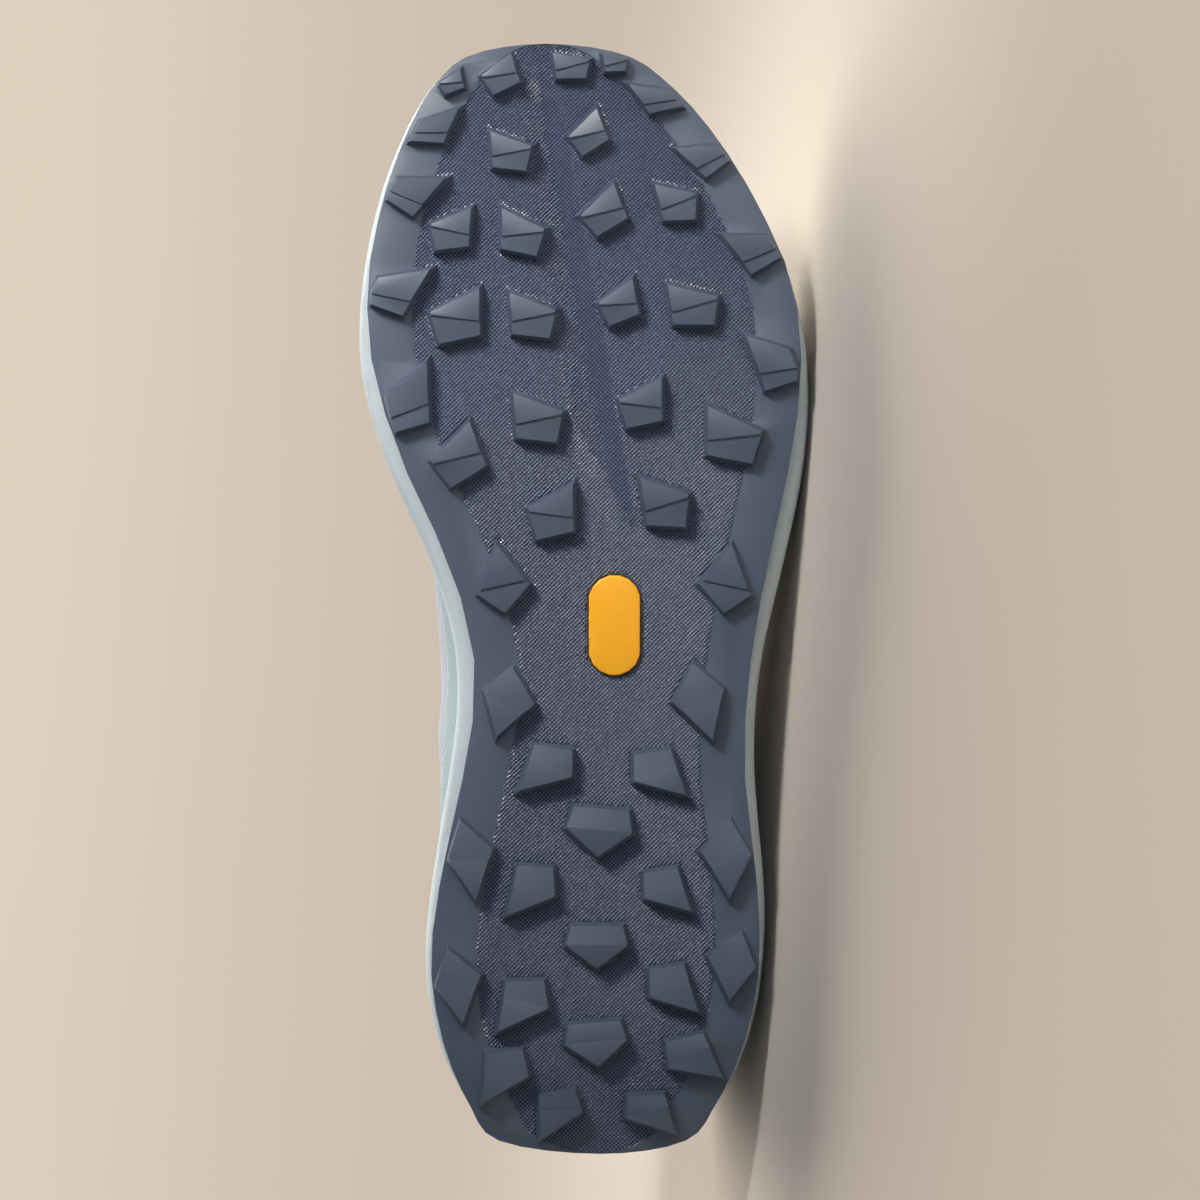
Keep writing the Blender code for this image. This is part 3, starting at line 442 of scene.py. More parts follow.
# %% Foam material
material, tree, shader = new_material("moulded_eva_foam", Roughness=0.62, IOR=1.45, Subsurface_Weight=0.12,
                                      Subsurface_Scale=0.003)
place = shoe_place(tree)
pebble = add(tree, "TexVoronoi", {"Vector": place, "Scale": 1 / 0.0009})
skin = add(tree, "TexNoise", {"Vector": place, "Scale": 1 / 0.0012, "Detail": 3})
patches = add(tree, "TexNoise", {"Vector": place, "Scale": 1 / 0.03, "Detail": 4})
pebbled = add(tree, "Bump", {"Height": pebble, "Distance": 0.00006, "Strength": 0.6})
foam = add(tree, "Mix", {0: patches, 6: linear("B4C0C6"), 7: linear("C0CBD1")}, 2, data_type="RGBA")
feed(shader, {
    "Base Color": foam,
    "Roughness": add(tree, "Math", [skin, 0.2, 0.5], operation="MULTIPLY_ADD"),
    "Normal": add(tree, "Bump", {"Height": skin, "Distance": 0.00005, "Strength": 0.5, "Normal": pebbled}),
})
midsole.data.materials.append(material)
seat(midsole, ["midsole"])

# %% [markdown]
# Insole
#
# A die-cut sheet of foam with a brushed textile face, loose on the midsole's bed. The brushed loops give
# it a soft dark face without gloss. Its loops are drawn 1.2 mm wide, so that they show.

# %% Insole
insole = welded_copy("insole", "textile_insole", 0)
softened(insole, 50, 0.6, 2)
material, tree, shader = new_material("brushed_insole_textile", Roughness=0.95, Sheen_Weight=0.25,
                                      Sheen_Roughness=0.6)
place = shoe_place(tree)
axes = add(tree, "SeparateXYZ", [place]).node.outputs
loops = add(tree, "Math", [wave(tree, axes[k], 0.0012) for k in (0, 1)], operation="MULTIPLY")
patches = add(tree, "TexNoise", {"Vector": place, "Scale": 1 / 0.004, "Detail": 3})
darker_in_hollows = add(tree, "Math", [loops, patches], operation="MULTIPLY")
textile = add(tree, "Mix", {0: darker_in_hollows, 6: linear("4A525F"), 7: linear("6B7482")}, 2, data_type="RGBA")
feed(shader, {
    "Base Color": textile,
    "Normal": add(tree, "Bump", {"Height": loops, "Distance": 0.0002, "Strength": 0.7}),
})
insole.data.materials.append(material)
seat(insole, ["insole"])

# %% [markdown]
# The last's own curves
#
# The upper, tongue and lace all follow the last, the block that a shoe is built on. Its strings run from
# the sole to the topline, a row each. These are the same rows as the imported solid's, so that the soft
# pieces modelled here lie exactly where the solids are.

# %% Rows of the last
INSTEP_HEIGHT = 0.103
COLLAR_HEIGHT = 0.097
OUTSOLE_PLATE = 0.0025
FOAM = 0.024
CUP_DEPTH = 0.008
LIP_INSET, LIP_WIDTH = 0.0030, 0.0022
UPPER_WALL = 0.0020
OVERLAY = 0.0008
GAP = 0.0003

# The sole's outline: where both sides lie across the shoe, as shares of BALL_WIDTH.
Side = namedtuple("Side", "along medial lateral")
SIDES = [
    Side(0.000, 0.011, 0.011), Side(0.012, -0.216, 0.203), Side(0.045, -0.286, 0.275),
    Side(0.100, -0.352, 0.342), Side(0.170, -0.382, 0.377), Side(0.250, -0.364, 0.378),
    Side(0.340, -0.327, 0.355), Side(0.430, -0.303, 0.364), Side(0.520, -0.353, 0.415),
    Side(0.610, -0.458, 0.465), Side(0.700, -0.526, 0.480), Side(0.780, -0.523, 0.445),
    Side(0.855, -0.488, 0.367), Side(0.920, -0.429, 0.265), Side(0.965, -0.363, 0.165),
    Side(0.990, -0.282, 0.070), Side(1.000, -0.111, -0.111),
]
# The foam's thickness and its lip's height along the shoe, as shares of FOAM and CUP_DEPTH.
Stack = namedtuple("Stack", "along foam lip")
STACK = [
    Stack(0.00, 1.00, 1.30), Stack(0.12, 1.00, 1.10), Stack(0.30, 1.00, 1.00), Stack(0.45, 0.93, 1.05),
    Stack(0.60, 0.80, 0.90), Stack(0.75, 0.70, 0.80), Stack(0.90, 0.62, 0.90), Stack(1.00, 0.55, 1.15),
]

# %% Strings from the sole to the topline
# A string starts at the share foot of the length. It ends at the share top, out from the middle line and
# tall over the ground. Between them, bulge and rise place its lower corner point, and reach and drop its
# upper one. The rand's film ends at its share rand, and the cuff's film starts at its share cuff.
String = namedtuple("String", "foot top out tall bulge rise reach drop rand cuff")
LATERAL_STRINGS = [
    String(0.000, 0.045, 0.000, 1.00 * COLLAR_HEIGHT, 0.040, 0.26, 0.010, 0.26, 0.62, 0.84),
    String(0.090, 0.095, 0.225, 0.95 * COLLAR_HEIGHT, 0.030, 0.24, 0.020, 0.24, 0.56, 0.82),
    String(0.200, 0.190, 0.290, 0.86 * COLLAR_HEIGHT, 0.020, 0.20, 0.040, 0.18, 0.40, 0.78),
    String(0.310, 0.300, 0.270, 0.92 * COLLAR_HEIGHT, 0.010, 0.22, 0.075, 0.17, 0.30, 0.76),
    String(0.400, 0.400, 0.205, 1.00 * INSTEP_HEIGHT, 0.005, 0.24, 0.120, 0.12, 0.22, 0.76),
    String(0.500, 0.490, 0.175, 0.93 * INSTEP_HEIGHT, 0.005, 0.24, 0.150, 0.10, 0.20, 0.74),
    String(0.610, 0.580, 0.155, 0.84 * INSTEP_HEIGHT, 0.010, 0.22, 0.180, 0.09, 0.20, 0.74),
    String(0.720, 0.655, 0.125, 0.76 * INSTEP_HEIGHT, 0.020, 0.20, 0.180, 0.08, 0.24, 0.76),
    String(0.840, 0.695, 0.085, 0.72 * INSTEP_HEIGHT, 0.030, 0.19, 0.240, 0.05, 0.36, 0.80),
    String(0.940, 0.708, 0.045, 0.705 * INSTEP_HEIGHT, 0.040, 0.20, 0.320, 0.03, 0.44, 0.83),
    String(1.000, 0.712, 0.000, 0.70 * INSTEP_HEIGHT, 0.045, 0.21, 0.360, 0.02, 0.46, 0.84),
]
MEDIAL_STRINGS = [
    String(0.090, 0.095, 0.225, 0.95 * COLLAR_HEIGHT, 0.030, 0.24, 0.020, 0.24, 0.56, 0.82),
    String(0.200, 0.190, 0.290, 0.88 * COLLAR_HEIGHT, 0.035, 0.20, 0.040, 0.18, 0.40, 0.78),
    String(0.310, 0.300, 0.270, 0.94 * COLLAR_HEIGHT, 0.130, 0.18, 0.085, 0.17, 0.26, 0.76),
    String(0.400, 0.400, 0.205, 1.01 * INSTEP_HEIGHT, 0.190, 0.17, 0.135, 0.13, 0.20, 0.76),
    String(0.500, 0.490, 0.175, 0.94 * INSTEP_HEIGHT, 0.175, 0.17, 0.155, 0.10, 0.18, 0.74),
    String(0.610, 0.580, 0.155, 0.85 * INSTEP_HEIGHT, 0.045, 0.19, 0.180, 0.09, 0.20, 0.74),
    String(0.720, 0.655, 0.125, 0.77 * INSTEP_HEIGHT, 0.012, 0.21, 0.180, 0.08, 0.24, 0.76),
    String(0.840, 0.695, 0.085, 0.725 * INSTEP_HEIGHT, 0.020, 0.20, 0.240, 0.05, 0.36, 0.80),
    String(0.940, 0.708, 0.045, 0.705 * INSTEP_HEIGHT, 0.035, 0.20, 0.320, 0.03, 0.44, 0.83),
]


# %% [markdown]
# Curves through the rows
#
# The rows above are only a few of the shoe's strings. A smooth cubic runs through each of their columns,
# so that there is a string at every angle round the shoe, and a point and a way out of the shoe at every
# height of it. A subdivision would round the rows too, but it would pull the surface off them.

# %% Curves through the rows
def angle_of(along):
    """Angle round the shoe of a share of the length: 0 at the heel, pi at the toe."""
    return math.acos(1 - 2 * min(1, max(0, along)))


def smooth(knots, at):
    """Cubic through knots of (place, value), each knot's slope taken from its neighbours."""
    i = 1
    while i < len(knots) - 3 and knots[i + 1][0] <= at:
        i += 1
    (p0, v0), (p1, v1), (p2, v2), (p3, v3) = knots[i - 1:i + 3]
    span = p2 - p1
    s = (at - p1) / span
    m1, m2 = (v2 - v0) / (p2 - p0) * span, (v3 - v1) / (p3 - p1) * span
    return (v1 * (1 + 2 * s) * (1 - s) ** 2 + m1 * s * (1 - s) ** 2
            + v2 * s * s * (3 - 2 * s) - m2 * s * s * (1 - s))


def open_knots(pairs):
    """Knots with one more beyond each end, in line with the last two."""
    (p0, v0), (p1, v1) = pairs[:2]
    (p3, v3), (p2, v2) = pairs[-1], pairs[-2]
    return [(2 * p0 - p1, 2 * v0 - v1)] + pairs + [(2 * p3 - p2, 2 * v3 - v2)]


def closed_knots(lateral, medial):
    """Knots round the shoe from (share of length, value) pairs, heel to toe, of both sides."""
    turn = [(angle_of(a), v) for a, v in lateral]
    turn += [(2 * math.pi - angle_of(a), v) for a, v in reversed(medial)]
    whole = 2 * math.pi
    return [(p - whole, v) for p, v in turn[-2:]] + turn + [(p + whole, v) for p, v in turn[:2]]


# %% Knots of the sole and of the strings
SIDE_KNOTS = closed_knots([(row.along, row.lateral * BALL_WIDTH) for row in SIDES],
                          [(row.along, row.medial * BALL_WIDTH) for row in SIDES[1:-1]])
FOAM_KNOTS = open_knots([(row.along, row.foam) for row in STACK])
LIP_KNOTS = open_knots([(row.along, row.lip) for row in STACK])
STRINGS = {
    column: closed_knots([(row.foot, getattr(row, column)) for row in LATERAL_STRINGS],
                         [(row.foot, (-1 if column == "out" else 1) * getattr(row, column))
                          for row in MEDIAL_STRINGS])
    for column in String._fields[1:]
}
print("strings:", len(LATERAL_STRINGS), "lateral and", len(MEDIAL_STRINGS), "medial")


# %% Points of the sole
NUDGE = 0.02              # step to each side, where a slope is measured


def side_point(angle):
    """Point of the sole's outline, in the plan, at an angle round the shoe."""
    return Vector((LENGTH / 2 * (1 - math.cos(angle)), smooth(SIDE_KNOTS, angle % (2 * math.pi))))


def out_of_shoe(angle):
    """Level unit vector out of the midsole's side."""
    run = side_point(angle + NUDGE) - side_point(angle - NUDGE)
    return Vector((-run.y, run.x)).normalized()


def bed(x):
    """Height of the midsole's bed."""
    return ground(x) + LUG_HEIGHT + OUTSOLE_PLATE + GAP + FOAM * smooth(FOAM_KNOTS, x / LENGTH)


def lip(x):
    """Height of the midsole's lip."""
    return bed(x) + CUP_DEPTH * smooth(LIP_KNOTS, x / LENGTH)


# %% Points of the last
@functools.cache
def string(angle):
    """Corner points of the string at an angle round the shoe, and its two overlay limits."""
    value = {column: smooth(knots, angle % (2 * math.pi)) for column, knots in STRINGS.items()}
    level = out_of_shoe(angle)
    foot = side_point(angle) - level * (LIP_INSET + LIP_WIDTH + GAP + OVERLAY)
    foot = Vector((foot.x, foot.y, lip(foot.x) + GAP))
    top = Vector((LENGTH * value["top"], BALL_WIDTH * value["out"], value["tall"]))
    top.y -= 0.05 * BALL_WIDTH * max(0, (top.x / LENGTH - 0.45) / 0.55)
    wall = foot + level.to_3d() * BALL_WIDTH * value["bulge"]
    wall.z += INSTEP_HEIGHT * value["rise"]
    aside = Vector((foot.x - top.x, foot.y - top.y, 0)).normalized()
    shoulder = top + aside * BALL_WIDTH * value["reach"]
    shoulder.z -= INSTEP_HEIGHT * value["drop"]
    return (foot, wall, shoulder, top), value["rand"], value["cuff"]


def bezier(points, t):
    """Point at a share t of the curve that four corner points draw."""
    a, b, c, d = points
    s = 1 - t
    return a * s ** 3 + b * 3 * s * s * t + c * 3 * s * t * t + d * t ** 3


def on_last(angle, t):
    """Point of the knit's face at a share t up the string at an angle."""
    return bezier(string(angle)[0], t)


def out_of_last(angle, t):
    """Unit vector out of the upper, level where the wall leaves the sole."""
    if t <= 0:
        return out_of_shoe(angle).to_3d()
    t = min(1 - NUDGE, max(NUDGE, t))
    up = on_last(angle, t + NUDGE) - on_last(angle, t - NUDGE)
    along = on_last(angle + NUDGE, t) - on_last(angle - NUDGE, t)
    return up.cross(along).normalized()


print("topline at the heel:", round(on_last(0, 1).z, 4), "m over the ground")

# %% [markdown]
# Wrapping cloth round the last
#
# Cloth starts flat. A grid primitive is a flat sheet with its own UV map, so each soft piece here is a
# grid whose points are laid, row by row, on a surface round the last. Its lengths along the cloth are
# kept in an attribute in metres, which the weave reads, so that the yarn keeps about its real size. They
# are counted on the sheet's foot or on its whole length, so the yarn lies a little closer or wider where
# the sheet narrows or bends.

# %% Wrapped sheets
def wrapped(name, across, up, place, closed=False, least=0.0):
    """A grid laid at place(i, j), which gives a point of the standing shoe and two attributes in metres.

    cloth holds the lengths along the sheet. edges holds how far a point lies past the edges of films or
    bindings, which the upper's material reads.

    The lying shoe presses its soft side flat: no point comes lower than least over the floor.
    """
    bpy.ops.object.select_all(action="DESELECT")
    bpy.ops.mesh.primitive_grid_add(x_subdivisions=across, y_subdivisions=up, size=1)
    piece = bpy.context.object
    piece.name = piece.data.name = name
    cloth = piece.data.attributes.new("cloth", "FLOAT_VECTOR", "POINT")
    edges = piece.data.attributes.new("edges", "FLOAT_VECTOR", "POINT")
    for k, vertex in enumerate(piece.data.vertices):
        i, j = round((vertex.co.x + 0.5) * across), round((vertex.co.y + 0.5) * up)
        point, cloth.data[k].vector, edges.data[k].vector = place(i, j)
        vertex.co = lying @ point
        vertex.co.z = max(least, vertex.co.z)
    if closed:
        bpy.ops.object.mode_set(mode="EDIT")
        bpy.ops.mesh.select_all(action="SELECT")
        bpy.ops.mesh.remove_doubles(threshold=1e-5)
        bpy.ops.object.mode_set(mode="OBJECT")
    return piece


# %% Ends and walls of sheets
def capped(piece):
    """Turns the faces of a closed sheet outwards, and fills its open ends."""
    bpy.ops.object.select_all(action="DESELECT")
    piece.select_set(True)
    bpy.context.view_layer.objects.active = piece
    bpy.ops.object.mode_set(mode="EDIT")
    bpy.ops.mesh.select_all(action="SELECT")
    bpy.ops.mesh.normals_make_consistent(inside=False)
    bpy.ops.mesh.select_all(action="DESELECT")
    bpy.ops.mesh.select_mode(type="EDGE")
    bpy.ops.mesh.select_non_manifold()
    bpy.ops.mesh.fill_holes(sides=0)
    bpy.ops.object.mode_set(mode="OBJECT")


def lined(piece, thickness, levels, slot_inside=0):
    """Gives a sheet its thickness, inwards, and softens it."""
    wall = piece.modifiers.new("wall", "SOLIDIFY")
    wall.thickness, wall.offset, wall.use_even_offset = thickness, -1, True
    wall.material_offset = slot_inside
    if levels:
        soft = piece.modifiers.new("soft", "SUBSURF")
        soft.levels = soft.render_levels = levels
    apply_modifiers(piece)
    bpy.ops.object.shade_smooth()


# %% [markdown]
# Knit upper
#
# The upper is a knit sock stiffened by thin films: a rand round its foot that rises into the toe cap and
# heel counter, and an eyestay that runs into the cuff. Each film is a step of 0.8 mm in the sheet. The
# knit is not tight like a drum: it has shallow hollows where the foot's arch pulls it in, soft ridges
# over the midsole and two creases where the toes bend.

# %% Upper shape
COLUMNS = 128
ROWS = [("hem", 1), ("rand", 9), ("rand_step", 1), ("knit", 16), ("cuff_step", 1), ("cuff", 8)]
STEP_RUN = 0.012          # share of the string that a film's edge takes
STRING_FIT = 0.93         # a string's length, as a share of the line through its corner points
END_PULL = 0.18           # draws the columns towards the tight ends of the sole
RAND_SWAY, RAND_WAVES = 0.006, 31         # the rand's upper edge isn't quite even
HEM_TUCK = 0.0006         # how far the hem is tucked in under the lip
FILM_IN_WALL = 0.4        # share of the films that thickens the sheet inwards
TOE_CREASES = ((0.665, 0.0012), (0.715, 0.0009))      # share of the length, depth


def soft_wave(value, middle, width):
    """A hump of 1 at the middle that falls to 0 at width."""
    share = abs(value - middle) / width
    return 0 if share >= 1 else 0.5 + 0.5 * math.cos(math.pi * share)


def slack(angle, t, point):
    """How far the knit stands out of the last, or sinks, at a point: its creases and waves."""
    along = point.x / LENGTH
    medial = point.y < 0
    out = 0
    for middle, deep in TOE_CREASES:
        swing = middle + 0.02 * math.sin(60 * point.y)
        out -= deep * soft_wave(along, swing, 0.022) * soft_wave(t, 0.72, 0.30)
        out += 0.4 * deep * soft_wave(along, swing + 0.022, 0.022) * soft_wave(t, 0.72, 0.30)
    if medial:
        over_arch = soft_wave(along, 0.42, 0.20) * soft_wave(t, 0.30, 0.28)
        out += 0.0007 * math.sin(point.x * 330 + 5 * t) * over_arch
    out += 0.0005 * math.sin(point.x * 210 + 9 * t + (0 if medial else 2)) * soft_wave(t, 0.5, 0.35)
    return out


# %% Upper sheet
stations = []
for zone, count in ROWS:
    stations += [(zone, (k + 1) / count) for k in range(count)]
stations.insert(0, ("hem", 0.0))
foot_lengths = [0.0]
for i in range(COLUMNS):
    one, two = (side_point(2 * math.pi * k / COLUMNS) for k in (i, i + 1))
    foot_lengths.append(foot_lengths[-1] + (two - one).length)


def turn_of(i):
    """Angle of a column round the shoe."""
    turn = 2 * math.pi * i / COLUMNS
    return turn - END_PULL * math.sin(2 * turn)


def upper_place(i, j):
    """Point of the upper at a column and a row, its lengths on the cloth and those past the films' edges.

    The cloth is measured from the heel on both sides, so that the ribs mirror at heel and toe.
    """
    angle = turn_of(i % COLUMNS)
    zone, share = stations[j]
    corners, rand, cuff = string(angle)
    rand += RAND_SWAY * math.sin(RAND_WAVES * angle)
    size = sum((two - one).length for one, two in zip(corners, corners[1:])) * STRING_FIT
    from_heel = min(foot_lengths[i], foot_lengths[-1] - foot_lengths[i])
    if zone == "hem" and share == 0:
        foot = side_point(angle) - out_of_shoe(angle) * (LIP_INSET + LIP_WIDTH + GAP + HEM_TUCK)
        low = Vector((foot.x, foot.y, bed(foot.x) + GAP))
        return low, (from_heel, -0.01, 0), (-0.02, -0.06, 0)
    t = {"hem": 0, "rand": rand * share, "rand_step": rand + STEP_RUN,
         "knit": rand + STEP_RUN + (cuff - rand - 2 * STEP_RUN) * share,
         "cuff_step": cuff, "cuff": cuff + (1 - cuff) * share}[zone]
    lift = 0 if zone in ("rand_step", "knit") else OVERLAY
    point = on_last(angle, t)
    if t > 0.02:
        lift += slack(angle, t, point)
    point = point + out_of_last(angle, t) * lift
    return point, (from_heel, t * size, 0), ((t - rand) * size, (t - cuff) * size, (1 - t) * size)


upper = wrapped("knit_upper", COLUMNS, len(stations) - 1, upper_place, closed=True)
bpy.ops.object.mode_set(mode="EDIT")
bpy.ops.mesh.select_all(action="SELECT")
bpy.ops.mesh.flip_normals()
bpy.ops.object.mode_set(mode="OBJECT")
print("upper sheet:", len(upper.data.polygons), "faces,", round(foot_lengths[-1], 3), "m round its foot")

# %% [markdown]
# Knit, film and lining
#
# The knit is matt yarn whose ribs run aslant, each with fine stitches. The films over it are smoother, and
# catch a soft light along their edges. The ribs are drawn 2.6 mm apart, as finer ones would not show. Both
# are one material, since the film is melted into the knit: the sheet's own lengths say where it starts.
# Inside, the upper is lined with a brushed textile, whose raised loops take all gloss off it.

# %% Knit and film material
RIB_PITCH, RIB_SLANT = 0.0026, 1.35
STITCH_PITCH, STITCH_SLANT = 0.0011, -0.7
FILM_EDGE = 0.0003        # half the width over which a film's edge fades

material, tree, shader = new_material("knit_with_film_overlays", Sheen_Weight=0.15, Sheen_Roughness=0.5)
place = shoe_place(tree)
yarn = add(tree, "SeparateXYZ", [add(tree, "Attribute", out="Vector", attribute_name="cloth")]).node.outputs
edge = add(tree, "SeparateXYZ", [add(tree, "Attribute", out="Vector", attribute_name="edges")]).node.outputs
aslant = add(tree, "Math", [yarn[1], RIB_SLANT, yarn[0]], operation="MULTIPLY_ADD")
across = add(tree, "Math", [yarn[0], STITCH_SLANT, yarn[1]], operation="MULTIPLY_ADD")
rib = add(tree, "MapRange", [wave(tree, aslant, RIB_PITCH), 0.1, 0.8], interpolation_type="SMOOTHSTEP")
stitch = add(tree, "Math", [wave(tree, across, STITCH_PITCH), 0.5, 0.5], operation="MULTIPLY_ADD")
knit = add(tree, "Math", [rib, stitch], operation="MULTIPLY")
rand = add(tree, "MapRange", [edge[0], FILM_EDGE, -FILM_EDGE], interpolation_type="SMOOTHSTEP")
cuff = add(tree, "MapRange", [edge[1], -FILM_EDGE, FILM_EDGE], interpolation_type="SMOOTHSTEP")
film = add(tree, "Math", [rand, cuff], operation="MAXIMUM")
patches = add(tree, "TexNoise", {"Vector": place, "Scale": 1 / 0.03, "Detail": 3})
faint = add(tree, "Math", [patches, 0.4], operation="MULTIPLY")
# The knit is darker between its ribs and stitches as painted shade, and paler on their ridges as a painted
# highlight.
body = add(tree, "Mix", {0: knit, 6: linear("868A9E"), 7: linear("CED1DE")}, 2, data_type="RGBA")
body = add(tree, "Mix", {0: faint, 6: body, 7: linear("BACBCE")}, 2, data_type="RGBA")
skin = add(tree, "Mix", {0: patches, 6: linear("96A9B0"), 7: linear("A6B8BE")}, 2, data_type="RGBA")
grain = add(tree, "TexNoise", {"Vector": place, "Scale": 1 / 0.0006})
height = add(tree, "Mix", {0: film, 2: knit, 3: grain}, data_type="FLOAT")
feed(shader, {
    "Base Color": add(tree, "Mix", {0: film, 6: body, 7: skin}, 2, data_type="RGBA"),
    "Roughness": add(tree, "Math", [film, -0.2, 0.9], operation="MULTIPLY_ADD"),
    "Normal": add(tree, "Bump", {"Height": height, "Distance": 0.0005, "Strength": 0.9}),
})
upper.data.materials.append(material)

# %% Lining textile
LOOP_WIDTH, LOOP_LENGTH = 0.0014, 0.0011

textile, tree, shader = new_material("brushed_lining_textile", Roughness=0.95, Sheen_Weight=0.35,
                                     Sheen_Roughness=0.6)
yarn = add(tree, "SeparateXYZ", [add(tree, "Attribute", out="Vector", attribute_name="cloth")]).node.outputs
loops = add(tree, "Math", [wave(tree, yarn[0], LOOP_WIDTH), wave(tree, yarn[1], LOOP_LENGTH)],
            operation="MULTIPLY")
feed(shader, {
    "Base Color": add(tree, "Mix", {0: loops, 6: linear("4B5465"), 7: linear("727C8C")}, 2, data_type="RGBA"),
    "Normal": add(tree, "Bump", {"Height": loops, "Distance": 0.0002, "Strength": 0.8}),
})
upper.data.materials.append(textile)
lined(upper, UPPER_WALL + FILM_IN_WALL * OVERLAY, 1, 1)

# %% [markdown]
# Eyelets
#
# Six pairs of round holes are punched through the eyestay. One cylinder is the punch: a copy of it stands
# at each eyelet, and a boolean cuts with all of them at once. A thin moulded ring covers the cut edge
# later on, as on the real shoe.

# %% Eyelet holes
EYELETS = [0.415, 0.49, 0.56, 0.63, 0.70, 0.78]       # each pair's share of the length, at its string's foot
EYELET_LEVEL = 0.90               # share of the way up that string
HOLE_RADIUS = 0.0020
PUNCH_LENGTH = 0.010


def eyelet(row, side):
    """Middle of an eyelet and the way out of it; side is 1 on the lateral side and -1 on the medial."""
    angle = angle_of(EYELETS[row])
    angle = angle if side > 0 else 2 * math.pi - angle
    way = out_of_last(angle, EYELET_LEVEL)
    return on_last(angle, EYELET_LEVEL) + way * OVERLAY, way


EYELET_PLACES = [eyelet(row, side) for row in range(len(EYELETS)) for side in (1, -1)]


# %% Copies at the eyelets
def joined(pieces, name):
    """One object from several, whose origin is at zero."""
    bpy.ops.object.select_all(action="DESELECT")
    for piece in pieces:
        piece.select_set(True)
    bpy.context.view_layer.objects.active = pieces[0]
    bpy.ops.object.join()
    whole = bpy.context.object
    whole.name = name
    whole.matrix_world = Matrix.Identity(4)
    return whole


def at_eyelets(piece, name):
    """A copy of a piece, modelled round z at the origin, at each eyelet; all joined, the model removed."""
    copies = []
    for middle, way in EYELET_PLACES:
        copy = bpy.data.objects.new(name, piece.data.copy())
        out_of_eyelet = way.to_track_quat("Z", "X").to_matrix().to_4x4()
        copy.data.transform(lying @ Matrix.Translation(middle) @ out_of_eyelet)
        bpy.context.scene.collection.objects.link(copy)
        copies.append(copy)
    bpy.data.objects.remove(piece)
    return joined(copies, name)


# %% Punched holes
bpy.ops.object.select_all(action="DESELECT")
bpy.ops.mesh.primitive_cylinder_add(vertices=24, radius=HOLE_RADIUS, depth=PUNCH_LENGTH)
punch = at_eyelets(bpy.context.object, "punch")
hole = upper.modifiers.new("holes", "BOOLEAN")
hole.operation, hole.solver, hole.object = "DIFFERENCE", "EXACT", punch
apply_modifiers(upper)
bpy.data.objects.remove(punch)
print("upper with its holes:", len(upper.data.polygons), "faces")
seat(upper, ["upper"])

# %% [markdown]
# Tongue
#
# A padded strip of knit that lies under the eyestays and stands out above the top eyelets. It is laid as
# a closed cushion: the same sheet in front and behind, thick in the middle and thin at its bound edge,
# with shallow channels across it where the padding is stitched.

# %% Tongue shape
TONGUE_WALL = 0.004
TONGUE_UNDER = UPPER_WALL + GAP + 0.0012
TONGUE_CLOTH = (0.06, 0.15)       # width and length that its mesh is counted on
TONGUE_CHANNELS, CHANNEL_DEPTH = 9, 0.0006
THROAT_ARCH = 0.36                # how far the throat's arch holds to the eyestays' slope
# The rows over the top eyelets: how far each stands over them, and its share of their row's width.
Rise = namedtuple("Rise", "height width")
TONGUE_TOP = [Rise(0.007, 0.82), Rise(0.015, 0.76), Rise(0.022, 0.72), Rise(0.025, 0.58)]
TONGUE_ROWS = [angle_of(0.40 + 0.045 * k) for k in range(13)]


@functools.cache
def throat_row(angle):
    """Points across the throat, from under one eyestay over the instep to under the other."""
    sides = []
    for a in (angle, 2 * math.pi - angle):
        shoulder, top = string(a)[0][2:]
        sides.append([on_last(a, t) for t in (0.80, 0.90, 1)] + [(top - shoulder).normalized()])
    (l1, l2, l3, lt), (m1, m2, m3, mt) = sides
    reach = THROAT_ARCH * (l3 - m3).length
    arch = (l3, l3 + lt * reach, m3 + mt * reach, m3)
    return [l1, l2, l3] + [bezier(arch, t) for t in (0.25, 0.5, 0.75)] + [m3, m2, m1]


def tongue_rows():
    """Rows of the throat's face from above the top eyelets down to the vamp."""
    rows = [throat_row(angle) for angle in TONGUE_ROWS]
    middle = rows[0][4]
    lift = Vector((-0.75, 0, 0.66)).normalized()
    above = [[middle + (p - middle) * rise.width + lift * rise.height for p in rows[0]]
             for rise in TONGUE_TOP]
    return above[::-1] + rows


# %% Surface of the tongue
def between(points, share):
    """A point on the smooth curve through evenly numbered points."""
    spot = share * (len(points) - 1)
    k = min(len(points) - 2, int(spot))
    a, b, c, d = (points[max(0, min(len(points) - 1, n))] for n in (k - 1, k, k + 1, k + 2))
    s = spot - k
    return (b * (1 + 2 * s) * (1 - s) ** 2 + (c - a) * 0.5 * s * (1 - s) ** 2
            + c * s * s * (3 - 2 * s) - (d - b) * 0.5 * s * s * (1 - s))


TONGUE = tongue_rows()


def tongue_face(u, v):
    """Point of the throat's face over the tongue: u across, v from its free end down to the vamp."""
    return between([between(row, u) for row in TONGUE], v)


def tongue_way(u, v):
    """Unit vector out of the tongue's front."""
    one, two = tongue_face(max(0, u - NUDGE), v), tongue_face(min(1, u + NUDGE), v)
    low, high = tongue_face(u, max(0, v - NUDGE)), tongue_face(u, min(1, v + NUDGE))
    way = (two - one).cross(high - low).normalized()
    return way if way.z > 0 else -way


# %% Tongue cushion
TONGUE_ACROSS, TONGUE_UP = 32, 60


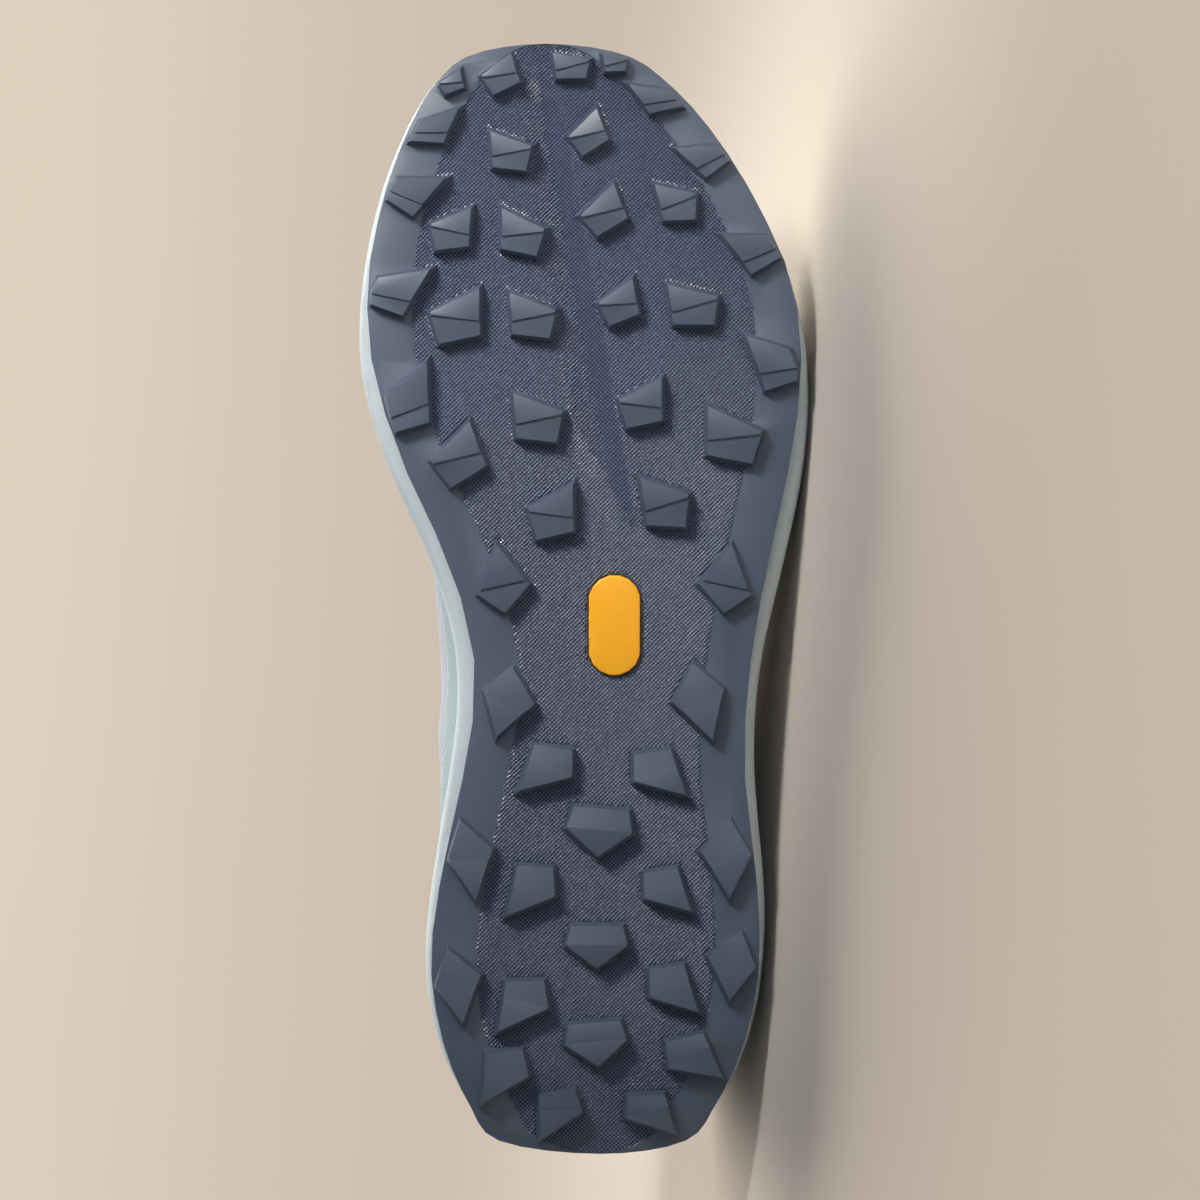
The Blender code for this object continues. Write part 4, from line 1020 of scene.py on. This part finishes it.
def tongue_place(i, j):
    """The front face for the first half of the columns, the back face for the second."""
    half = TONGUE_ACROSS // 2
    front = i <= half
    u = (i / half) if front else 2 - i / half
    v = j / TONGUE_UP
    rim = min(1, 6 * min(u, 1 - u), 9 * v + 0.15, 9 * (1 - v) + 0.15)
    puff = math.sqrt(max(0.0, rim * (2 - rim)))
    stitched = 0.28 < v < 0.95
    channel = CHANNEL_DEPTH * math.cos(2 * math.pi * v * TONGUE_CHANNELS) if stitched else 0
    middle = TONGUE_UNDER + TONGUE_WALL / 2
    lift = (1 if front else -1) * (TONGUE_WALL / 2 * puff - max(0, channel) * puff)
    point = tongue_face(u, v) - tongue_way(u, v) * (middle - lift)
    wide, long = TONGUE_CLOTH
    return point, (u * wide, v * long, 0), (min(u, 1 - u) * wide, v * long, 0)


def length_of(points):
    """Length along a row of points, in metres to the millimetre."""
    return round(sum((two - one).length for one, two in zip(points, points[1:])), 3)


print("tongue:", length_of([tongue_face(k / 20, 0.5) for k in range(21)]), "m wide and",
      length_of([tongue_face(0.5, k / 40) for k in range(41)]), "m long")
tongue = wrapped("padded_tongue", TONGUE_ACROSS, TONGUE_UP, tongue_place, closed=True)
capped(tongue)
soft = tongue.modifiers.new("soft", "SUBSURF")
soft.levels = soft.render_levels = 1
apply_modifiers(tongue)
bpy.ops.object.shade_smooth()

# %% [markdown]
# The tongue's face
#
# Air mesh is a knit of open cells, so its colour is broken by dark pores. The pores are the cells of a
# nearly even Voronoi pattern, about 1.6 mm wide. They are drawn wider than most real ones, so that they
# show in the picture.

# %% Tongue material
MESH_CELL = 0.0016

material, tree, shader = new_material("air_mesh_textile", Roughness=0.92, Sheen_Weight=0.3,
                                      Sheen_Roughness=0.5)
cells = add(tree, "TexVoronoi", {"Vector": add(tree, "Attribute", out="Vector", attribute_name="cloth"),
                                 "Scale": 1 / MESH_CELL, "Randomness": 0.15})
pores = add(tree, "MapRange", [cells, 0.15, 0.42], interpolation_type="SMOOTHSTEP")
feed(shader, {
    "Base Color": add(tree, "Mix", {0: pores, 6: linear("6F7788"), 7: linear("A9B2BE")}, 2, data_type="RGBA"),
    "Normal": add(tree, "Bump", {"Height": pores, "Distance": 0.0003, "Strength": 0.8}),
})
tongue.data.materials.append(material)
seat(tongue, ["tongue"])

# %% [markdown]
# Collar lining
#
# The rim of the ankle opening is rolled over a foam pad and lined with brushed textile. It is a sheet
# that starts just over the topline and runs down the inside, swelling in the middle of the pad.

# %% Collar lining shape
LINING_ACROSS, LINING_UP = 96, 14
LINING_END = angle_of(0.40)
LINING_DEEP = 0.34        # how far down the string it reaches
LINING_PUFF = 0.0034
LINING_WALL = 0.0006
LINING_CLOTH = 0.03       # length down the pad that its loops are counted on
LINING_CREST = 0.0007     # how far it stands over the topline


def lining_place(i, j):
    """Point of the lining at a column round the ankle and a row down the inside."""
    angle = -LINING_END + 2 * LINING_END * i / LINING_ACROSS
    share = j / LINING_UP
    t = 1 - LINING_DEEP * share
    taper = min(1, 5 * min(i, LINING_ACROSS - i) / LINING_ACROSS)
    puff = 0
    if 0 < share < 0.95:
        puff = LINING_PUFF * math.sin(math.pi * min(1, share * 1.05)) ** 0.7 * taper
    inward = UPPER_WALL + 0.0002 + puff
    if share == 0:
        inward = 0.4 * UPPER_WALL
    way = out_of_last(angle % (2 * math.pi), t)
    point = on_last(angle % (2 * math.pi), t) - way * inward
    if j < 3:
        point.z += LINING_CREST * (3 - j) / 3
    down = share * LINING_CLOTH
    return point, (foot_lengths[-1] * angle / (2 * math.pi), down, 0), (down, 0, 0)


rim = [on_last(LINING_END * (k / 20 - 1) % (2 * math.pi), 1) for k in range(41)]
print("collar lining:", length_of(rim), "m along the topline")
lining = wrapped("collar_lining", LINING_ACROSS, LINING_UP, lining_place, least=UPPER_WALL + OVERLAY)
lined(lining, LINING_WALL, 1)
lining.data.materials.append(textile)
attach(lining, "root")

# %% [markdown]
# Eyelet rings and lace
#
# One ring is a torus pressed a little flat, and a copy of it is turned to each eyelet. It is moulded
# thermoplastic, slightly glossier than the film round it. The lace is one flat woven band: it comes up out
# of an eyelet, where it bunches, crosses the tongue, dives under the far eyestay and comes up again. A bar
# under the lowest row joins both halves, and its ends stop in the top eyelets. The braid is matt, and its
# yarns meet in arrowheads along the middle.

# %% Eyelet rings
RING_RADIUS, RING_WIDTH, RING_FLATNESS = 0.0028, 0.0018, 0.85
bpy.ops.object.select_all(action="DESELECT")
bpy.ops.mesh.primitive_torus_add(major_radius=RING_RADIUS, minor_radius=RING_WIDTH / 2, major_segments=28,
                                 minor_segments=10)
bpy.ops.object.mode_set(mode="EDIT")
bpy.ops.mesh.select_all(action="SELECT")
bpy.ops.transform.resize(value=(1, 1, RING_FLATNESS))
bpy.ops.object.mode_set(mode="OBJECT")
eyelets = at_eyelets(bpy.context.object, "eyelet_rings")
bpy.ops.object.shade_smooth()
material, tree, shader = new_material("moulded_tpu", Roughness=0.45, IOR=1.5)
patches = add(tree, "TexNoise", {"Vector": shoe_place(tree), "Scale": 1 / 0.002})
tpu = add(tree, "Mix", {0: patches, 6: linear("525C6B"), 7: linear("606B7A")}, 2, data_type="RGBA")
feed(shader, {"Base Color": tpu})
eyelets.data.materials.append(material)
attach(eyelets, "root")
print("eyelet rings:", len(EYELET_PLACES), "rings,", len(eyelets.data.polygons), "faces")

# %% Path of the lace
LACE_WIDTH = 0.0060
LACE_THICKNESS = 0.0016
LACE_SIDES = 12
LACE_STEPS = 5                    # rows of the grid between two stops
LACE_CLOTH = 0.9                  # length that the braid is counted on
LACE_UNDER, LACE_OVER = 0.0014, 0.0006                # how far it runs under an eyelet's wall and over it
BUNCHED_UNDER, BUNCHED_IN = 0.75, 0.55                # share of its width under and in an eyelet
BAR_UNDER = 0.0017                                    # how far the bar lies under the throat's face
OVER_TONGUE = Vector((0.2, 0, 1)).normalized()        # out of the tongue, for all crossings
# The stops of a crossing: share of the way to the next pair, and height over the throat's face.
CROSSING = ((0.08, 0.0020), (0.30, 0.0016), (0.50, 0.0012), (0.70, 0.0006), (0.92, -0.0017))
UPPER_LACE_LIFT = 0.0007          # the half that lies on top at each crossing


def lace_path():
    """Stops of each half of the lace: (point, way out of the shoe, share of the width)."""
    halves = []
    for side in (1, -1):
        stops = []
        for row in range(len(EYELETS) - 1, -1, -1):
            here = side if (len(EYELETS) - 1 - row) % 2 == 0 else -side
            middle, way = eyelet(row, here)
            under = middle - way * (OVERLAY + UPPER_WALL + LACE_UNDER)
            stops += [(under, way, BUNCHED_UNDER), (middle + way * LACE_OVER, way, BUNCHED_IN)]
            if row == 0:
                break
            low, high = angle_of(EYELETS[row]), angle_of(EYELETS[row - 1])
            lines = [throat_row(low + (high - low) * share)[::here] for share, lift in CROSSING]
            for k, (share, lift) in enumerate(CROSSING):
                point = lines[k][k + 2]
                if k == 4:
                    point = lines[3][5].lerp(lines[4][6], 0.6)
                lift += UPPER_LACE_LIFT if here > 0 and k < 4 else 0
                stops.append((point + OVER_TONGUE * lift, OVER_TONGUE if 0 < k < 4 else way, 1))
        halves.append(stops)
    return halves


first, second = lace_path()
lowest = throat_row(angle_of(EYELETS[-1]))
bar = [(lowest[k] - OVER_TONGUE * BAR_UNDER, OVER_TONGUE, 1) for k in (3, 4, 5)]
STOPS = first[::-1] + bar + second


# %% Lace band
def lace_point(v):
    """Point of the lace's middle at a share v of its stops."""
    return between([stop[0] for stop in STOPS], v)


def lace_place(i, j):
    """Point of the lace's face at a place round its section and a row along it.

    The powers make the round section a flat band with full edges.
    """
    v = j / (LACE_STEPS * (len(STOPS) - 1))
    run = (lace_point(min(1, v + 0.002)) - lace_point(max(0, v - 0.002))).normalized()
    way = between([stop[1] for stop in STOPS], v)
    way = (way - run * way.dot(run)).normalized()
    wide = run.cross(way)
    a = 2 * math.pi * i / LACE_SIDES
    share = between([Vector((stop[2], 0, 0)) for stop in STOPS], v).x
    x = math.copysign(abs(math.cos(a)) ** 0.6, math.cos(a)) * LACE_WIDTH / 2 * share
    y = math.copysign(abs(math.sin(a)) ** 0.8, math.sin(a)) * LACE_THICKNESS / 2 / math.sqrt(share)
    return lace_point(v) + wide * x + way * y, (x, v * LACE_CLOTH, 0), (y, 0, 0)


lace = wrapped("woven_lace", LACE_SIDES, LACE_STEPS * (len(STOPS) - 1), lace_place, closed=True)
capped(lace)
bpy.ops.object.shade_smooth()
print("lace:", length_of([lace_point(k / 400) for k in range(401)]), "m long")

# %% Lace material
BRAID_PITCH = 0.0011

material, tree, shader = new_material("woven_polyester_lace", Roughness=0.8, Sheen_Weight=0.2,
                                      Sheen_Roughness=0.4)
yarn = add(tree, "SeparateXYZ", [add(tree, "Attribute", out="Vector", attribute_name="cloth")]).node.outputs
from_middle = add(tree, "Math", [yarn[0]], operation="ABSOLUTE")
braid = wave(tree, add(tree, "Math", [from_middle, yarn[1]], operation="ADD"), BRAID_PITCH)
feed(shader, {
    "Base Color": add(tree, "Mix", {0: braid, 6: linear("454E5C"), 7: linear("6A7483")}, 2, data_type="RGBA"),
    "Normal": add(tree, "Bump", {"Height": braid, "Distance": 0.0002, "Strength": 0.8}),
})
lace.data.materials.append(material)
seat(lace, ["lace_bar"] + [f"lace_crossing_{k}" for k in range(1, 6)])
